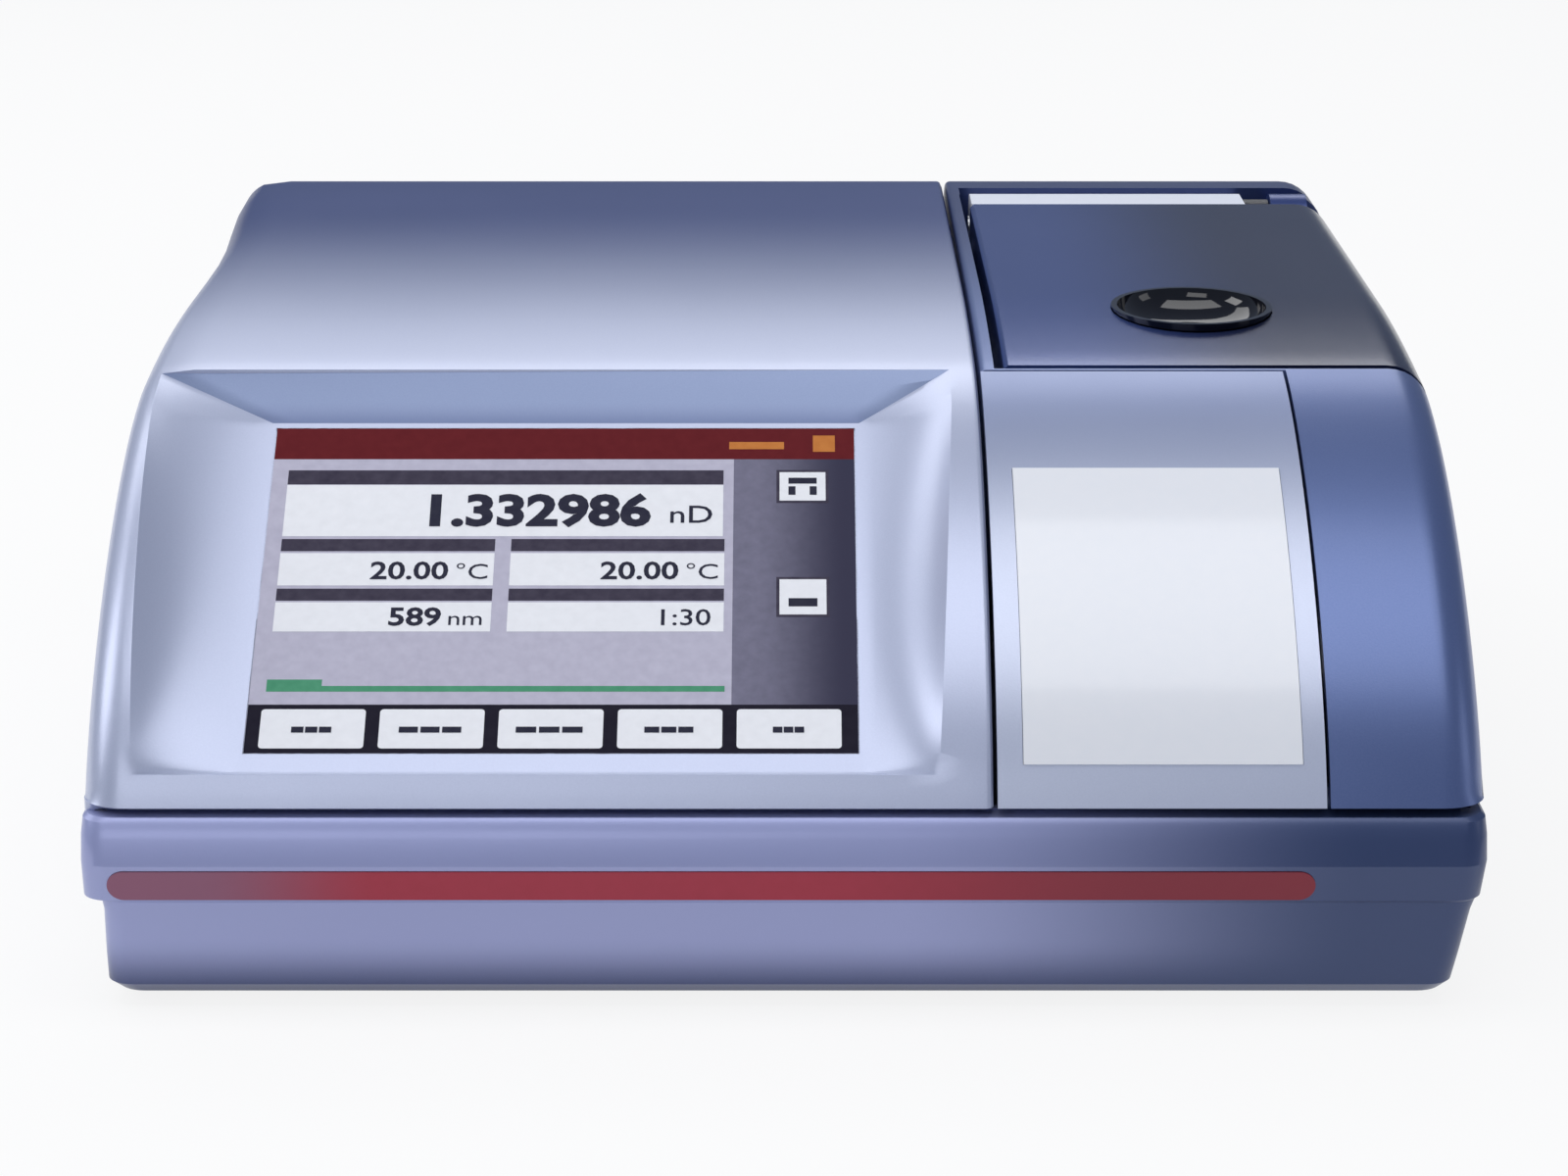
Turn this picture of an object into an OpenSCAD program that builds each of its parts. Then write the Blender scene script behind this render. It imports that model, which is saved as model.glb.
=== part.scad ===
/* [Overall] */
// Width across the side walls
body_w = 300; // [280:1:330]
// Depth from the nose to the rear face
body_d = 345; // [335:1:370]
// Height of the top plane above the table
body_h = 122; // [118:1:130]
// Height of the rubber feet under the base
foot_h = 3; // [2:0.5:6]
// How far the left wall swells outward at the rear shoulder
rear_flare = 3; // [0:0.5:4]

/* [Housing] */
// Height of the base's top edge above the table
base_top = 43.5; // [41:0.5:45]
// Shadow groove between the base and the covers
groove = 2; // [1:0.5:3]
// Wall of the moulded covers
wall = 3; // [2.5:0.5:4]
// Wall of the base tray
base_wall = 3; // [2.5:0.5:4]
// Rounding where a side wall meets the top
side_r = 10; // [6:1:14]
// Rounding at the rear top edge
rear_r = 12; // [8:1:16]
// Plan radius of the base's rear corners
corner_r = 16; // [10:1:24]
// X of the narrow gap between the two modules
gap_x = 45; // [40:1:50]
// Width of that gap
gap_w = 0.9; // [0.6:0.1:1.5]
// How far the base steps in below its belt
belt_step = 4; // [2:0.5:5]
// Height of the belt's lower edge above the table
belt_low = 25; // [22:1:28]

/* [Display] */
// Width of the touch glass
glass_w = 132.5; // [120:0.5:140]
// Height of the touch glass along the slope
glass_l = 95; // [88:0.5:98]
// Thickness of the touch glass
glass_t = 1.8; // [1:0.1:3]
// Tilt of the screen from the horizontal
tilt = 34; // [32:0.5:36]
// X of the screen's centre
screen_x = -50; // [-54:1:-46]
// Distance of the screen's lower edge behind the nose
screen_f = 16; // [14:0.5:18]
// Height of the screen's lower edge above the table
screen_z = 54; // [53:0.5:56]
// Width of the recess's flank left of the glass
flank_left = 28; // [22:1:30]
// Width of the recess's flank right of the glass
flank_right = 22; // [16:1:24]

/* [Sample side] */
// X of the lid's left edge
lid_x = 51.1; // [50:0.1:54]
// Distance of the lid's front edge behind the nose
lid_f = 112; // [108:1:118]
// Height of the sample deck above the table
deck_z = 103.4; // [101:0.2:105]
// Radius of the lid's hinge barrel
barrel_r = 9; // [8:0.5:10]
// Distance of the hinge axis behind the nose
hinge_f = 313; // [305:1:316]
// Radius of the hinge pin
pin_r = 3; // [2:0.25:4]
// Running clearance of the pin in the lid barrel
pin_clear = 0.05; // [0.02:0.01:0.09]
// Length of the lid barrel
barrel_l = 75; // [60:1:78]
// Length of the friction hub beside it
hub_l = 7.4; // [5:0.2:9]
// Length of the fixed knuckle
knuckle_l = 10; // [8:0.5:11]
// X of the finger dish
dish_x = 99; // [92:1:104]
// Distance of the finger dish behind the nose
dish_f = 160; // [150:1:166]
// Width of the finger dish
dish_w = 39; // [30:1:44]
// Length of the finger dish, front to back
dish_l = 45; // [36:1:48]
// Depth of the finger dish
dish_depth = 9; // [6:0.5:10]
// X of the prism's axis
prism_x = 99; // [92:1:106]
// Distance of the prism's axis behind the nose
prism_f = 222; // [214:1:236]
// Radius of the stainless sample plate
plate_r = 38; // [32:1:42]
// X of the tongue's right edge
tongue_x = 115.4; // [112:0.2:118]
// Width of the seams round the tongue
seam = 0.8; // [0.5:0.1:1.2]
// Left edge of the inlay plate
inlay_left = 51; // [50:0.5:56]
// Right edge of the inlay plate
inlay_right = 110.5; // [104:0.5:112]
// Thickness of the inlay plate
inlay_t = 1; // [0.6:0.1:1.5]

/* [Rear] */
// Half width of the rear panel
panel_half = 128; // [122:1:132]
// Lower edge of the rear panel above the table
panel_low = 13; // [11:1:16]
// Upper edge of the rear panel above the table
panel_top = 92; // [86:1:94]
// Thickness of the rear panel
panel_t = 2; // [1.5:0.5:3]
// Outer side of the square fan frame
fan_side = 60; // [50:5:60]
// Thickness of the fan frame
fan_t = 15; // [12:1:20]
// Number of fan blades
fan_blades = 7; // [5:1:11]
// Number of fins on the heat sink
fins = 11; // [7:2:13]

/* [Hidden] */
$fn = 48;
// Clearance between pieces of different bodies
clear = 0.3;
// Overcut that keeps faces of a cut from coinciding
eps = 0.05;
half_w = body_w / 2;
cover_low = base_top + groove;
gap_left = gap_x - gap_w / 2;
gap_right = gap_x + gap_w / 2;
barrel_z = body_h - barrel_r;
lid_low = deck_z + 1;
// Wall added inside a rounded shoulder, where the hollow's corner is sharp
round_extra = 0.2 * side_r;
edge_steps = 8;
slope_steps = 28;
shoulder_steps = 8;
corner_steps = 8;

// Y of a point that lies f behind the nose
function fy(f) = f - body_d / 2;
// Point of a cubic curve through four control points
function bez(a, b, c, d, t) =
    pow(1 - t, 3) * a + 3 * t * pow(1 - t, 2) * b + 3 * t * t * (1 - t) * c + pow(t, 3) * d;

// The side profile, as [distance behind the nose, height]: nose, slope, shoulder, top and rear edge
nose = [4.6, cover_low];
crease = [115, body_h - 3.6];
shoulder = [188, body_h];
function slope_pt(t) = bez(nose, [17, 76], [72, body_h - 8], crease, t);
function shoulder_pt(t) = bez(crease, [138, body_h - 1.4], [162, body_h], shoulder, t);
function rear_pt(a) = [body_d - rear_r + rear_r * sin(a), body_h - rear_r + rear_r * cos(a)];
profile = concat(
    [for (i = [0:slope_steps]) slope_pt(i / slope_steps)],
    [for (i = [1:shoulder_steps]) shoulder_pt(i / shoulder_steps)],
    [[250, body_h], [300, body_h]],
    [for (i = [0:corner_steps]) rear_pt(90 * i / corner_steps)],
    [[body_d, cover_low]]);
last = len(profile) - 1;

function unit(v) = v / norm(v);
// Inward normal of the profile at point i
function inward(i) = let(
        a = profile[max(i - 1, 0)],
        b = profile[min(i + 1, last)],
        d = unit(b - a))
    [d[1], -d[0]];
// The profile moved inward by d, with its lower ends kept at height low
function inset(d, low) = [for (i = [0:last])
    i == 0 ? [profile[0][0] + d * inward(0)[0], low] :
    i == last ? [profile[last][0] - d, low] :
    profile[i] + d * inward(i)];
// How far the left wall swells at a distance f behind the nose
function swell(f) = rear_flare * (
    f > 235 ? (1.4 * pow(sin(90 * min((f - 235) / 95, 1)), 2) - 0.4) :
    f > 130 ? -0.4 * pow(sin(90 * (f - 130) / 105), 2) : 0);

// Faces of a stack of rings with n points each, closed at both ends
function skin(rings, n) = concat(
    [[for (i = [0:n - 1]) i]],
    [[for (i = [n - 1:-1:0]) (rings - 1) * n + i]],
    [for (r = [0:rings - 2]) for (i = [0:n - 1])
        [r * n + i, (r + 1) * n + i, (r + 1) * n + (i + 1) % n, r * n + (i + 1) % n]]);
// The same faces for rings whose points run the other way round
function turned_skin(rings, n) = [for (f = skin(rings, n)) [for (i = [len(f) - 1:-1:0]) f[i]]];

// Faces cut into triangles, so that bent ones have one form only
function in_triangles(faces) = [for (f = faces) for (i = [1:len(f) - 2]) [f[0], f[i], f[i + 1]]];

// A pillow with the side profile, from xl to xr, with its side edges rounded by rl and rr
module pillow(xl, xr, rl, rr, flare = 0) {
    stations = concat(
        [for (k = [0:edge_steps]) let(a = 90 * k / edge_steps)
            [xl + rl * (1 - cos(a)), rl * (1 - sin(a)), flare]],
        [for (k = [edge_steps:-1:0]) let(a = 90 * k / edge_steps)
            [xr - rr * (1 - cos(a)), rr * (1 - sin(a)), 0]]);
    rings = [for (s = stations)
        [for (p = inset(s[1], cover_low)) [s[0] - s[2] * swell(p[0]), fy(p[0]), p[1]]]];
    points = [for (ring = rings) for (p = ring) p];
    polyhedron(points, turned_skin(len(stations), last + 1), convexity = 6);
}

// The hollow of a cover: the side profile moved inward by its wall, open below
module hollow(xl, xr) {
    translate([xl, 0, 0])
        rotate([90, 0, 90])
            linear_extrude(xr - xl)
                polygon([for (p = inset(wall, cover_low - 1)) [fy(p[0]), p[1]]]);
}

// A box between two corners given as [x, f, z]
module block(a, b) {
    translate([a[0], fy(a[1]), a[2]])
        cube(b - a);
}

// A round rod along X between xa and xb
module rod_x(r, xa, xb, f, z) {
    translate([xa, fy(f), z])
        rotate([0, 90, 0])
            cylinder(r = r, h = xb - xa);
}

// A round rod along Y between fa and fb
module rod_y(r, fa, fb, x, z) {
    translate([x, fy(fb), z])
        rotate([90, 0, 0])
            cylinder(r = r, h = fb - fa);
}

// Ring of a rounded rectangle at one height
function rounded_ring(xl, xr, fa, fb, rf, rb, z) = concat(
    [for (i = [0:corner_steps]) let(a = 180 + 90 * i / corner_steps)
        [xl + rf + rf * cos(a), fy(fa + rf + rf * sin(a)), z]],
    [for (i = [0:corner_steps]) let(a = 270 + 90 * i / corner_steps)
        [xr - rf + rf * cos(a), fy(fa + rf + rf * sin(a)), z]],
    [for (i = [0:corner_steps]) let(a = 90 * i / corner_steps)
        [xr - rb + rb * cos(a), fy(fb - rb + rb * sin(a)), z]],
    [for (i = [0:corner_steps]) let(a = 90 + 90 * i / corner_steps)
        [xl + rb + rb * cos(a), fy(fb - rb + rb * sin(a)), z]]);

// Lower edge of the belt's front face, as [distance behind the nose, height], and its upper edge's height
stripe_face = [2, belt_low + 0.7];
belt_high = 34;
// The base's outer rings: [height, step in at the left, at the right, at the nose, at the rear]
base_rings = [
    [foot_h, belt_step + 2, 7.5, 8, 6],
    [foot_h + 2.5, belt_step, 5.8, 5.2, 4],
    [12, belt_step, 4.6, 3.8, 2],
    [belt_low - 3, belt_step, 2.6, 3, 1],
    [belt_low, belt_step - 0.5, 1.6, 2.6, 0.5],
    [stripe_face[1], 0, 0.8, stripe_face[0], 0],
    [belt_high, 0, 0, 0, 0],
    [base_top - 4, 0, 0, 1.5, 0],
    [base_top - 0.8, 0.2, 0.2, 3.4, 0.2],
    [base_top, 1, 1, 4.4, 1]];
nose_r = 6;
post_r = 4.5;
screw_r = 1.6;
// Head of a case screw: radius, thickness and how far it stands below the floor
head_r = 3;
head_t = 1.4;
head_out = 0.4;
posts = [for (x = [-half_w + 16, half_w - 16], f = [30, body_d - 24]) [x, f]];
foot_spots = [for (x = [-half_w + 34, half_w - 36], f = [44, body_d - 34]) [x, f]];

// Louvres with round ends through the floor of the base, below the fan's duct
louvre_r = 1.5;
louvre_pitch = 7;
module floor_louvres() {
    for (i = [0:8])
        hull()
            for (f = [236, 286])
                translate([60 + i * louvre_pitch, fy(f), foot_h - 1])
                    cylinder(r = louvre_r, h = base_wall + 2, $fn = 16);
}

// Lower housing: floor, belt and side walls, with posts for the cover screws
module base_tray() {
    color("slategray")
        difference() {
            union() {
                difference() {
                    base_solid();
                    block([-half_w + belt_step + 2.5 + base_wall, 22 + base_wall, foot_h + base_wall],
                        [half_w - 7.5 - base_wall, body_d - 6 - base_wall, base_top + eps]);
                    block([-half_w + base_wall, 8 + base_wall, belt_low + 4],
                        [half_w - base_wall, body_d - base_wall, base_top + eps]);
                }
                for (p = posts)
                    translate([p[0], fy(p[1]), foot_h + 1])
                        cylinder(r = post_r, h = base_top - foot_h - 1, $fn = 24);
                inner_lip();
            }
            for (p = posts)
                translate([p[0], fy(p[1]), foot_h - 1]) {
                    cylinder(r = screw_r + 0.2, h = base_top, $fn = 16);
                    cylinder(r = head_r + 0.3, h = 1 + head_t - head_out + eps, $fn = 24);
                }
            for (p = foot_spots)
                translate([p[0], fy(p[1]), foot_h - 1])
                    cylinder(r = screw_r + 0.2, h = base_wall + 2, $fn = 16);
            rear_opening();
            stripe_groove();
            floor_louvres();
        }
}

lip_t = 2;
lip_h = groove + 3;
lip_front = 10;
// Lip that stands up inside the covers and closes the shadow groove
module inner_lip() {
    side = half_w - wall - round_extra - clear;
    difference() {
        block([-side, lip_front, base_top - 2], [side, body_d - wall - clear, base_top + lip_h]);
        block([-side + lip_t, lip_front + lip_t, base_top - 3],
            [side - lip_t, body_d - wall - clear - lip_t, base_top + lip_h + 1]);
        block([gap_x - wall - gap_w, 0, base_top + clear],
            [gap_x + wall + gap_w, body_d, base_top + lip_h + 1]);
    }
}

// Room for the lip where the display cover is solid behind its recess
module lip_channel() {
    side = half_w - wall - round_extra;
    high = base_top + lip_h + clear;
    block([-side, lip_front - clear, cover_low - 1], [gap_x, lip_front + lip_t + clear, high]);
    block([-side, lip_front - clear, cover_low - 1], [-side + lip_t + 2 * clear, 60, high]);
}

module base_solid() {
    rings = [for (b = base_rings) rounded_ring(-half_w + b[1], half_w - b[2], b[3], body_d - b[4],
        nose_r, corner_r, b[0])];
    points = [for (ring = rings) for (p = ring) p];
    polyhedron(points, skin(len(rings), len(rings[0])), convexity = 4);
}

stripe_left = -half_w + 6;
stripe_right = 113;
stripe_h = 7;
stripe_t = 0.8;
stripe_proud = 0.2;
// Shallow pocket in the belt for the stripe
module stripe_groove() {
    stripe_body(0.15, 2);
}

// The stripe's form on the belt's front face, grown by grow and standing out by out
module stripe_body(grow, out) {
    r = stripe_h / 2 + grow;
    translate([0, fy(stripe_face[0]), stripe_face[1]])
        rotate([-90 + atan2(stripe_face[0], belt_high - stripe_face[1]), 0, 0])
            translate([0, -stripe_h / 2 - 0.3, -out])
                linear_extrude(stripe_t + out - stripe_proud)
                    union() {
                        translate([stripe_left + r, 0])
                            circle(r);
                        translate([stripe_right - r, 0])
                            circle(r);
                        translate([stripe_left + r, -r])
                            square([stripe_right - stripe_left - 2 * r, 2 * r]);
                    }
}

// Red trim strip along the belt
module red_stripe() {
    color("crimson")
        stripe_body(0, stripe_proud);
}

// Direction up the screen and out of it, as [distance behind the nose, height]
screen_up = [cos(tilt), sin(tilt)];
screen_out = [-sin(tilt), cos(tilt)];
screen_0 = [screen_f, screen_z];
function on_plane(q) = screen_0 + screen_up * ((q - screen_0) * screen_up);
floor_left = screen_x - glass_w / 2 - 1;
floor_right = screen_x + glass_w / 2 + 1;
recess_left = floor_left - flank_left + 1;
recess_right = floor_right + flank_right - 1;
// Places along the slope where the recess starts, reaches the screen's top and ends
recess_t0 = 0.1;
recess_t1 = 0.83;
recess_t2 = 0.96;
recess_steps = 12;
// How far the rims draw in at the recess's lower end
recess_in = 5;

// One ring of the recess: its floor at p on the screen's plane and its rims at q on the slope
function recess_ring(q, p, in) = let(lift = 30 * screen_out)
    [for (s = [[recess_left + in, q], [floor_left, p], [floor_right, p], [recess_right - in, q],
        [recess_right - in, q + lift], [recess_left + in, q + lift]]) [s[0], fy(s[1][0]), s[1][1]]];

// The tapered space in front of the screen, with flanks that rise to the slope
module recess_cut() {
    ts = [for (i = [0:recess_steps]) recess_t0 + (recess_t1 - recess_t0) * i / recess_steps];
    start = slope_pt(recess_t0) - 2 * screen_up;
    end = slope_pt(recess_t2);
    rings = concat(
        [recess_ring(start + screen_out, start + screen_out * 0.5, recess_in + 1)],
        [for (i = [0:recess_steps]) let(q = slope_pt(ts[i]))
            recess_ring(q, on_plane(q), recess_in * (1 - i / recess_steps))],
        [recess_ring(end + screen_out * 0.1, end, 1)]);
    polyhedron([for (ring = rings) for (p = ring) p], in_triangles(turned_skin(len(rings), 6)), convexity = 4);
}

// Puts a child into the screen's own axes: x across, y up the slope, z out of the glass
module on_screen(depth = 0) {
    translate([screen_x, fy(screen_f), screen_z])
        rotate([tilt, 0, 0])
            translate([0, 0, depth])
                children();
}

// A flat slab in the screen's axes
module slab(w, y0, y1, z0, z1) {
    on_screen()
        translate([-w / 2, y0, z0])
            cube([w, y1 - y0, z1 - z0]);
}

module rear_opening() {
    block([-panel_half, body_d - 20, panel_low], [panel_half, body_d + 1, panel_top]);
}

// A post with a blind screw hole, hanging from a cover's shoulder
module cover_post(p, high) {
    translate([p[0], fy(p[1]), base_top + clear])
        cylinder(r = post_r, h = high - base_top - clear, $fn = 24);
}

// Top of the front cover posts, inside the slope
front_post_high = 71;
boss_rib_h = 16;
// Four tapered ribs that stiffen the foot of a cover post
module post_ribs(p) {
    for (a = [0:90:270])
        translate([p[0], fy(p[1]), base_top + clear])
            rotate([0, 0, a])
                hull() {
                    translate([0, -0.8, 0])
                        cube([post_r + 2.4, 1.6, 1]);
                    translate([0, -0.8, 0])
                        cube([post_r - 0.5, 1.6, boss_rib_h]);
                }
}

module post_hole(p) {
    translate([p[0], fy(p[1]), base_top - 1])
        cylinder(r = screw_r + eps, h = 15, $fn = 16);
}

// Moulded housing of the display module, with the recess round the screen
module display_cover() {
    color("lightsteelblue")
        difference() {
            union() {
                difference() {
                    pillow(-half_w, gap_left, side_r, 1.5, flare = 1);
                    difference() {
                        hollow(-half_w + wall + round_extra, gap_left - wall);
                        recess_backing();
                    }
                }
                for (p = [posts[0], posts[1]]) {
                    cover_post(p, p[1] < 100 ? front_post_high : body_h - wall + 1);
                    post_ribs(p);
                }
            }
            recess_cut();
            slab(glass_w + 1.4, -0.7, glass_l + 0.7, -glass_t - 1, 1);
            slab(glass_w - 8, 4, glass_l - 4, -20, 1);
            lip_channel();
            rear_opening();
            for (p = [posts[0], posts[1]])
                post_hole(p);
        }
}

// The part of the housing's inside that stays solid behind the recess
module recess_backing() {
    translate([0, fy(screen_f), screen_z])
        rotate([tilt, 0, 0])
            translate([recess_left - wall, -20, -glass_t - 1 - wall])
                cube([gap_left - recess_left, glass_l + 34, 60]);
}

// Region of the right housing that the lid occupies when it is shut
module lid_space(grow) {
    block([lid_x - grow - 0.1 * grow, lid_f - grow, deck_z], [half_w + 10, hinge_f, body_h + 10]);
}

hinge_gap = 1.2;
// Trough behind the hinge barrel
module hinge_trough() {
    rod_x(barrel_r + hinge_gap, lid_x - 2.2, half_w - 4.6, hinge_f, barrel_z);
    block([lid_x - 2.2, hinge_f - 6, barrel_z], [half_w - 4.6, hinge_f + barrel_r + hinge_gap, body_h + 10]);
}

// Housing of the sample side: right shoulder, deck, hinge trough and rear edge
module sample_cover() {
    color("steelblue")
        difference() {
            union() {
                difference() {
                    pillow(gap_right, half_w, 1.5, side_r);
                    difference() {
                        hollow(gap_right + wall, half_w - wall - round_extra);
                        block([gap_right, lid_f - 6, deck_z - wall], [half_w, body_d, body_h]);
                    }
                }
                for (p = [posts[2], posts[3]])
                    cover_post(p, p[1] < 100 ? front_post_high : deck_z - 1);
                block([gap_right + 1, lid_f - 6, deck_z - 12], [half_w - 2, lid_f - 3.4, deck_z - wall]);
            }
            lid_space(2.2);
            hinge_trough();
            block([gap_right - 1, -2, cover_low - 2], [tongue_x + seam, lid_f - 2.2 - 0.8, body_h + 2]);
            translate([prism_x, fy(prism_f), deck_z - 20])
                cylinder(r = plate_r - 6, h = 30);
            translate([prism_x, fy(prism_f), deck_z - 1])
                cylinder(r = plate_r + 0.3, h = 30);
            rear_opening();
            side_louvres();
            for (p = [posts[2], posts[3]])
                post_hole(p);
        }
}

// Louvres with round ends through the right wall, beside the heat sink
module side_louvres() {
    for (i = [0:9])
        translate([half_w - wall - round_extra - 1, fy(236 + i * louvre_pitch), 0])
            rotate([90, 0, 90])
                linear_extrude(wall + round_extra + 2) {
                    for (z = [58, 84])
                        translate([0, z])
                            circle(louvre_r);
                    translate([-louvre_r, 58])
                        square([2 * louvre_r, 26]);
                }
}

// Front tongue of the sample side, a curved panel between the module gap and the right seam
module front_tongue() {
    outer = concat([nose], [for (p = profile) if (p[0] > nose[0] && p[0] < tongue_end) p],
        [[tongue_end, height_at(tongue_end)]]);
    n = len(outer) - 1;
    back = [for (i = [n:-1:0]) let(v = unit(outer[min(i + 1, n)] - outer[max(i - 1, 0)]))
        outer[i] + wall * [v[1], -v[0]]];
    color("lightsteelblue")
        difference() {
            translate([gap_right, 0, 0])
                rotate([90, 0, 90])
                    linear_extrude(tongue_x - gap_right)
                        polygon([for (p = concat(outer, back)) [fy(p[0]), max(p[1], cover_low)]]);
            inlay_form(0.15);
        }
}

tongue_end = lid_f - 3.8;
// Height of the profile at a distance f behind the nose, between the crease and the rear edge
function height_at(f) = lookup(f, [for (p = profile) if (p[1] > body_h - 20 && p[0] < body_d - rear_r) p]);

inlay_t0 = 0.09;
inlay_t1 = 0.66;
inlay_steps = 12;
// Bent plate that follows the slope, grown by g and standing in a pocket
module inlay_form(g) {
    d = inlay_t;
    ts = [for (i = [0:inlay_steps]) inlay_t0 + (inlay_t1 - inlay_t0) * i / inlay_steps];
    outer = [for (t = ts) slope_pt(t)];
    n = [for (t = ts) let(v = unit(slope_pt(t + 0.01) - slope_pt(t - 0.01))) [-v[1], v[0]]];
    top = [for (i = [0:inlay_steps]) outer[i] + n[i] * (g > 0 ? 2 : 0.25)];
    bottom = [for (i = [inlay_steps:-1:0]) outer[i] - n[i] * (d + g - 0.1)];
    translate([inlay_left - g, 0, 0])
        rotate([90, 0, 90])
            linear_extrude(inlay_right - inlay_left + 2 * g)
                polygon([for (p = concat(top, bottom)) [fy(p[0]), p[1]]]);
}

// White inlay plate on the tongue
module inlay_plate() {
    color("white")
        inlay_form(0);
}

// Rear panel with the cut-outs for its sockets
inlet_x = -100;
inlet_z = 34;
switch_x = -60;
ether_x = -22;
usb_x = 4;
serial_x = 36;
port_z = 62;
fan_x = 88;
fan_z = 50;
panel_f = body_d - 3;
module rear_panel() {
    color("lightgray")
        difference() {
            block([-panel_half + 0.3, panel_f - panel_t, panel_low + 0.3],
                [panel_half - 0.3, panel_f, panel_top - 0.3]);
            port_cut(inlet_x, inlet_z, 28.4, 20.6);
            port_cut(switch_x, inlet_z, 13.4, 19.4);
            port_cut(ether_x, port_z, 16.6, 14.2);
            port_cut(usb_x, port_z, 15.2, 16.4);
            port_cut(serial_x, port_z, 20.2, 11.4);
            rod_y(fan_side / 2 - 3, panel_f - 4, panel_f + 1, fan_x, fan_z);
            for (s = screw_spots)
                rod_y(screw_r + 0.2, panel_f - 4, panel_f + 1, s[0], s[1]);
        }
}

fan_hole = fan_side / 2 - 5;
screw_spots = concat(
    [for (x = [-1, 1], z = [-1, 1]) [fan_x + x * fan_hole, fan_z + z * fan_hole]],
    [for (x = [-1, 1]) [inlet_x + x * 20, inlet_z]]);

module port_cut(x, z, w, h) {
    block([x - w / 2, panel_f - 4, z - h / 2], [x + w / 2, panel_f + 1, z + h / 2]);
}

// Glass of the touch screen
module touch_glass() {
    color("gainsboro")
        slab(glass_w, 0, glass_l, -glass_t, 0);
}

gasket_t = 0.7;
lcd_t = 5;
bracket_t = 1.5;
// Foam frame between the glass and the housing
module display_gasket() {
    color("dimgray")
        difference() {
            slab(glass_w - 9, 4.5, glass_l - 4.5, -glass_t - gasket_t, -glass_t);
            slab(glass_w - 17, 8.5, glass_l - 8.5, -glass_t - gasket_t - 1, -glass_t + 1);
        }
}

// Liquid crystal panel behind the glass
module lcd_panel() {
    color("darkslategray")
        slab(glass_w - 9, 4.5, glass_l - 4.5, -glass_t - gasket_t - lcd_t, -glass_t - gasket_t);
}

// Folded sheet bracket that carries the display and the main board
module display_bracket() {
    low = -glass_t - gasket_t - lcd_t;
    color("silver")
        difference() {
            union() {
                slab(glass_w + 6, -4, glass_l + 2, low - bracket_t, low);
                for (x = [-1, 1])
                    on_screen()
                        translate([x * (glass_w / 2 + 2.25) - 0.75, -4, low - 10])
                            cube([bracket_t, glass_l + 6, 10]);
            }
            for (i = [-1, 1])
                on_screen()
                    translate([i * 30, glass_l / 2, low - 3])
                        cylinder(r = 12, h = 6);
        }
}

board_low = -22;
board_t = 1.6;
board_w = 120;
board_l = 70;
stand_spots = [for (x = [-1, 1], y = [12, 72]) [x * 52, y]];
// Main board behind the display
module main_board() {
    color("darkgreen")
        on_screen(board_low)
            difference() {
                translate([-board_w / 2, 8, 0])
                    cube([board_w, board_l, board_t]);
                for (s = stand_spots)
                    translate([s[0], s[1], -1])
                        cylinder(r = screw_r, h = board_t + 2);
            }
}

// Processor, memory and plugs soldered on the main board
module board_chips() {
    color("black")
        on_screen(board_low + board_t) {
            translate([-14, 30, 0])
                cube([24, 24, 2.2]);
            for (i = [0:3])
                translate([-48 + i * 9, 58, 0])
                    cube([7, 12, 1.4]);
            for (i = [0:1])
                translate([20 + i * 18, 24, 0])
                    cube([12, 12, 3]);
            translate([-46, 22, 0])
                cube([20, 6, 5.5]);
        }
}

// Spacers between the display bracket and the main board
module board_standoffs() {
    low = -glass_t - gasket_t - lcd_t - bracket_t;
    color("goldenrod")
        for (s = stand_spots)
            on_screen(board_low + board_t)
                translate([s[0], s[1], 0])
                    difference() {
                        cylinder(r = 3, h = low - board_low - board_t);
                        translate([0, 0, -1])
                            cylinder(r = 1.3, h = 6);
                    }
}

floor_z = foot_h + base_wall;
supply_x = -128;
supply_f = 196;
// Chassis of the mains supply, a folded sheet tray with its board
module power_supply() {
    color("silver")
        difference() {
            block([supply_x, supply_f, floor_z], [supply_x + 108, supply_f + 62, floor_z + 32]);
            block([supply_x + 2, supply_f - 1, floor_z + 6], [supply_x + 106, supply_f + 63, floor_z + 33]);
            for (i = [0:4])
                block([supply_x - 1, supply_f + 8 + i * 10, floor_z + 12],
                    [supply_x + 109, supply_f + 13 + i * 10, floor_z + 26]);
        }
}

// Transformer, choke and capacitors of the supply
module supply_parts() {
    color("goldenrod") {
        block([supply_x + 40, supply_f + 14, floor_z + 6], [supply_x + 68, supply_f + 46, floor_z + 27]);
        for (i = [0:1])
            translate([supply_x + 20, fy(supply_f + 18 + i * 24), floor_z + 6])
                cylinder(r = 8, h = 22);
        translate([supply_x + 86, fy(supply_f + 30), floor_z + 6])
            rotate_extrude()
                translate([8, 5])
                    circle(4);
        translate([supply_x + 86, fy(supply_f + 30), floor_z + 6])
            difference() {
                cylinder(r = 13, h = 1.4);
                translate([0, 0, -1])
                    cylinder(r = 3, h = 4);
            }
    }
}

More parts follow.
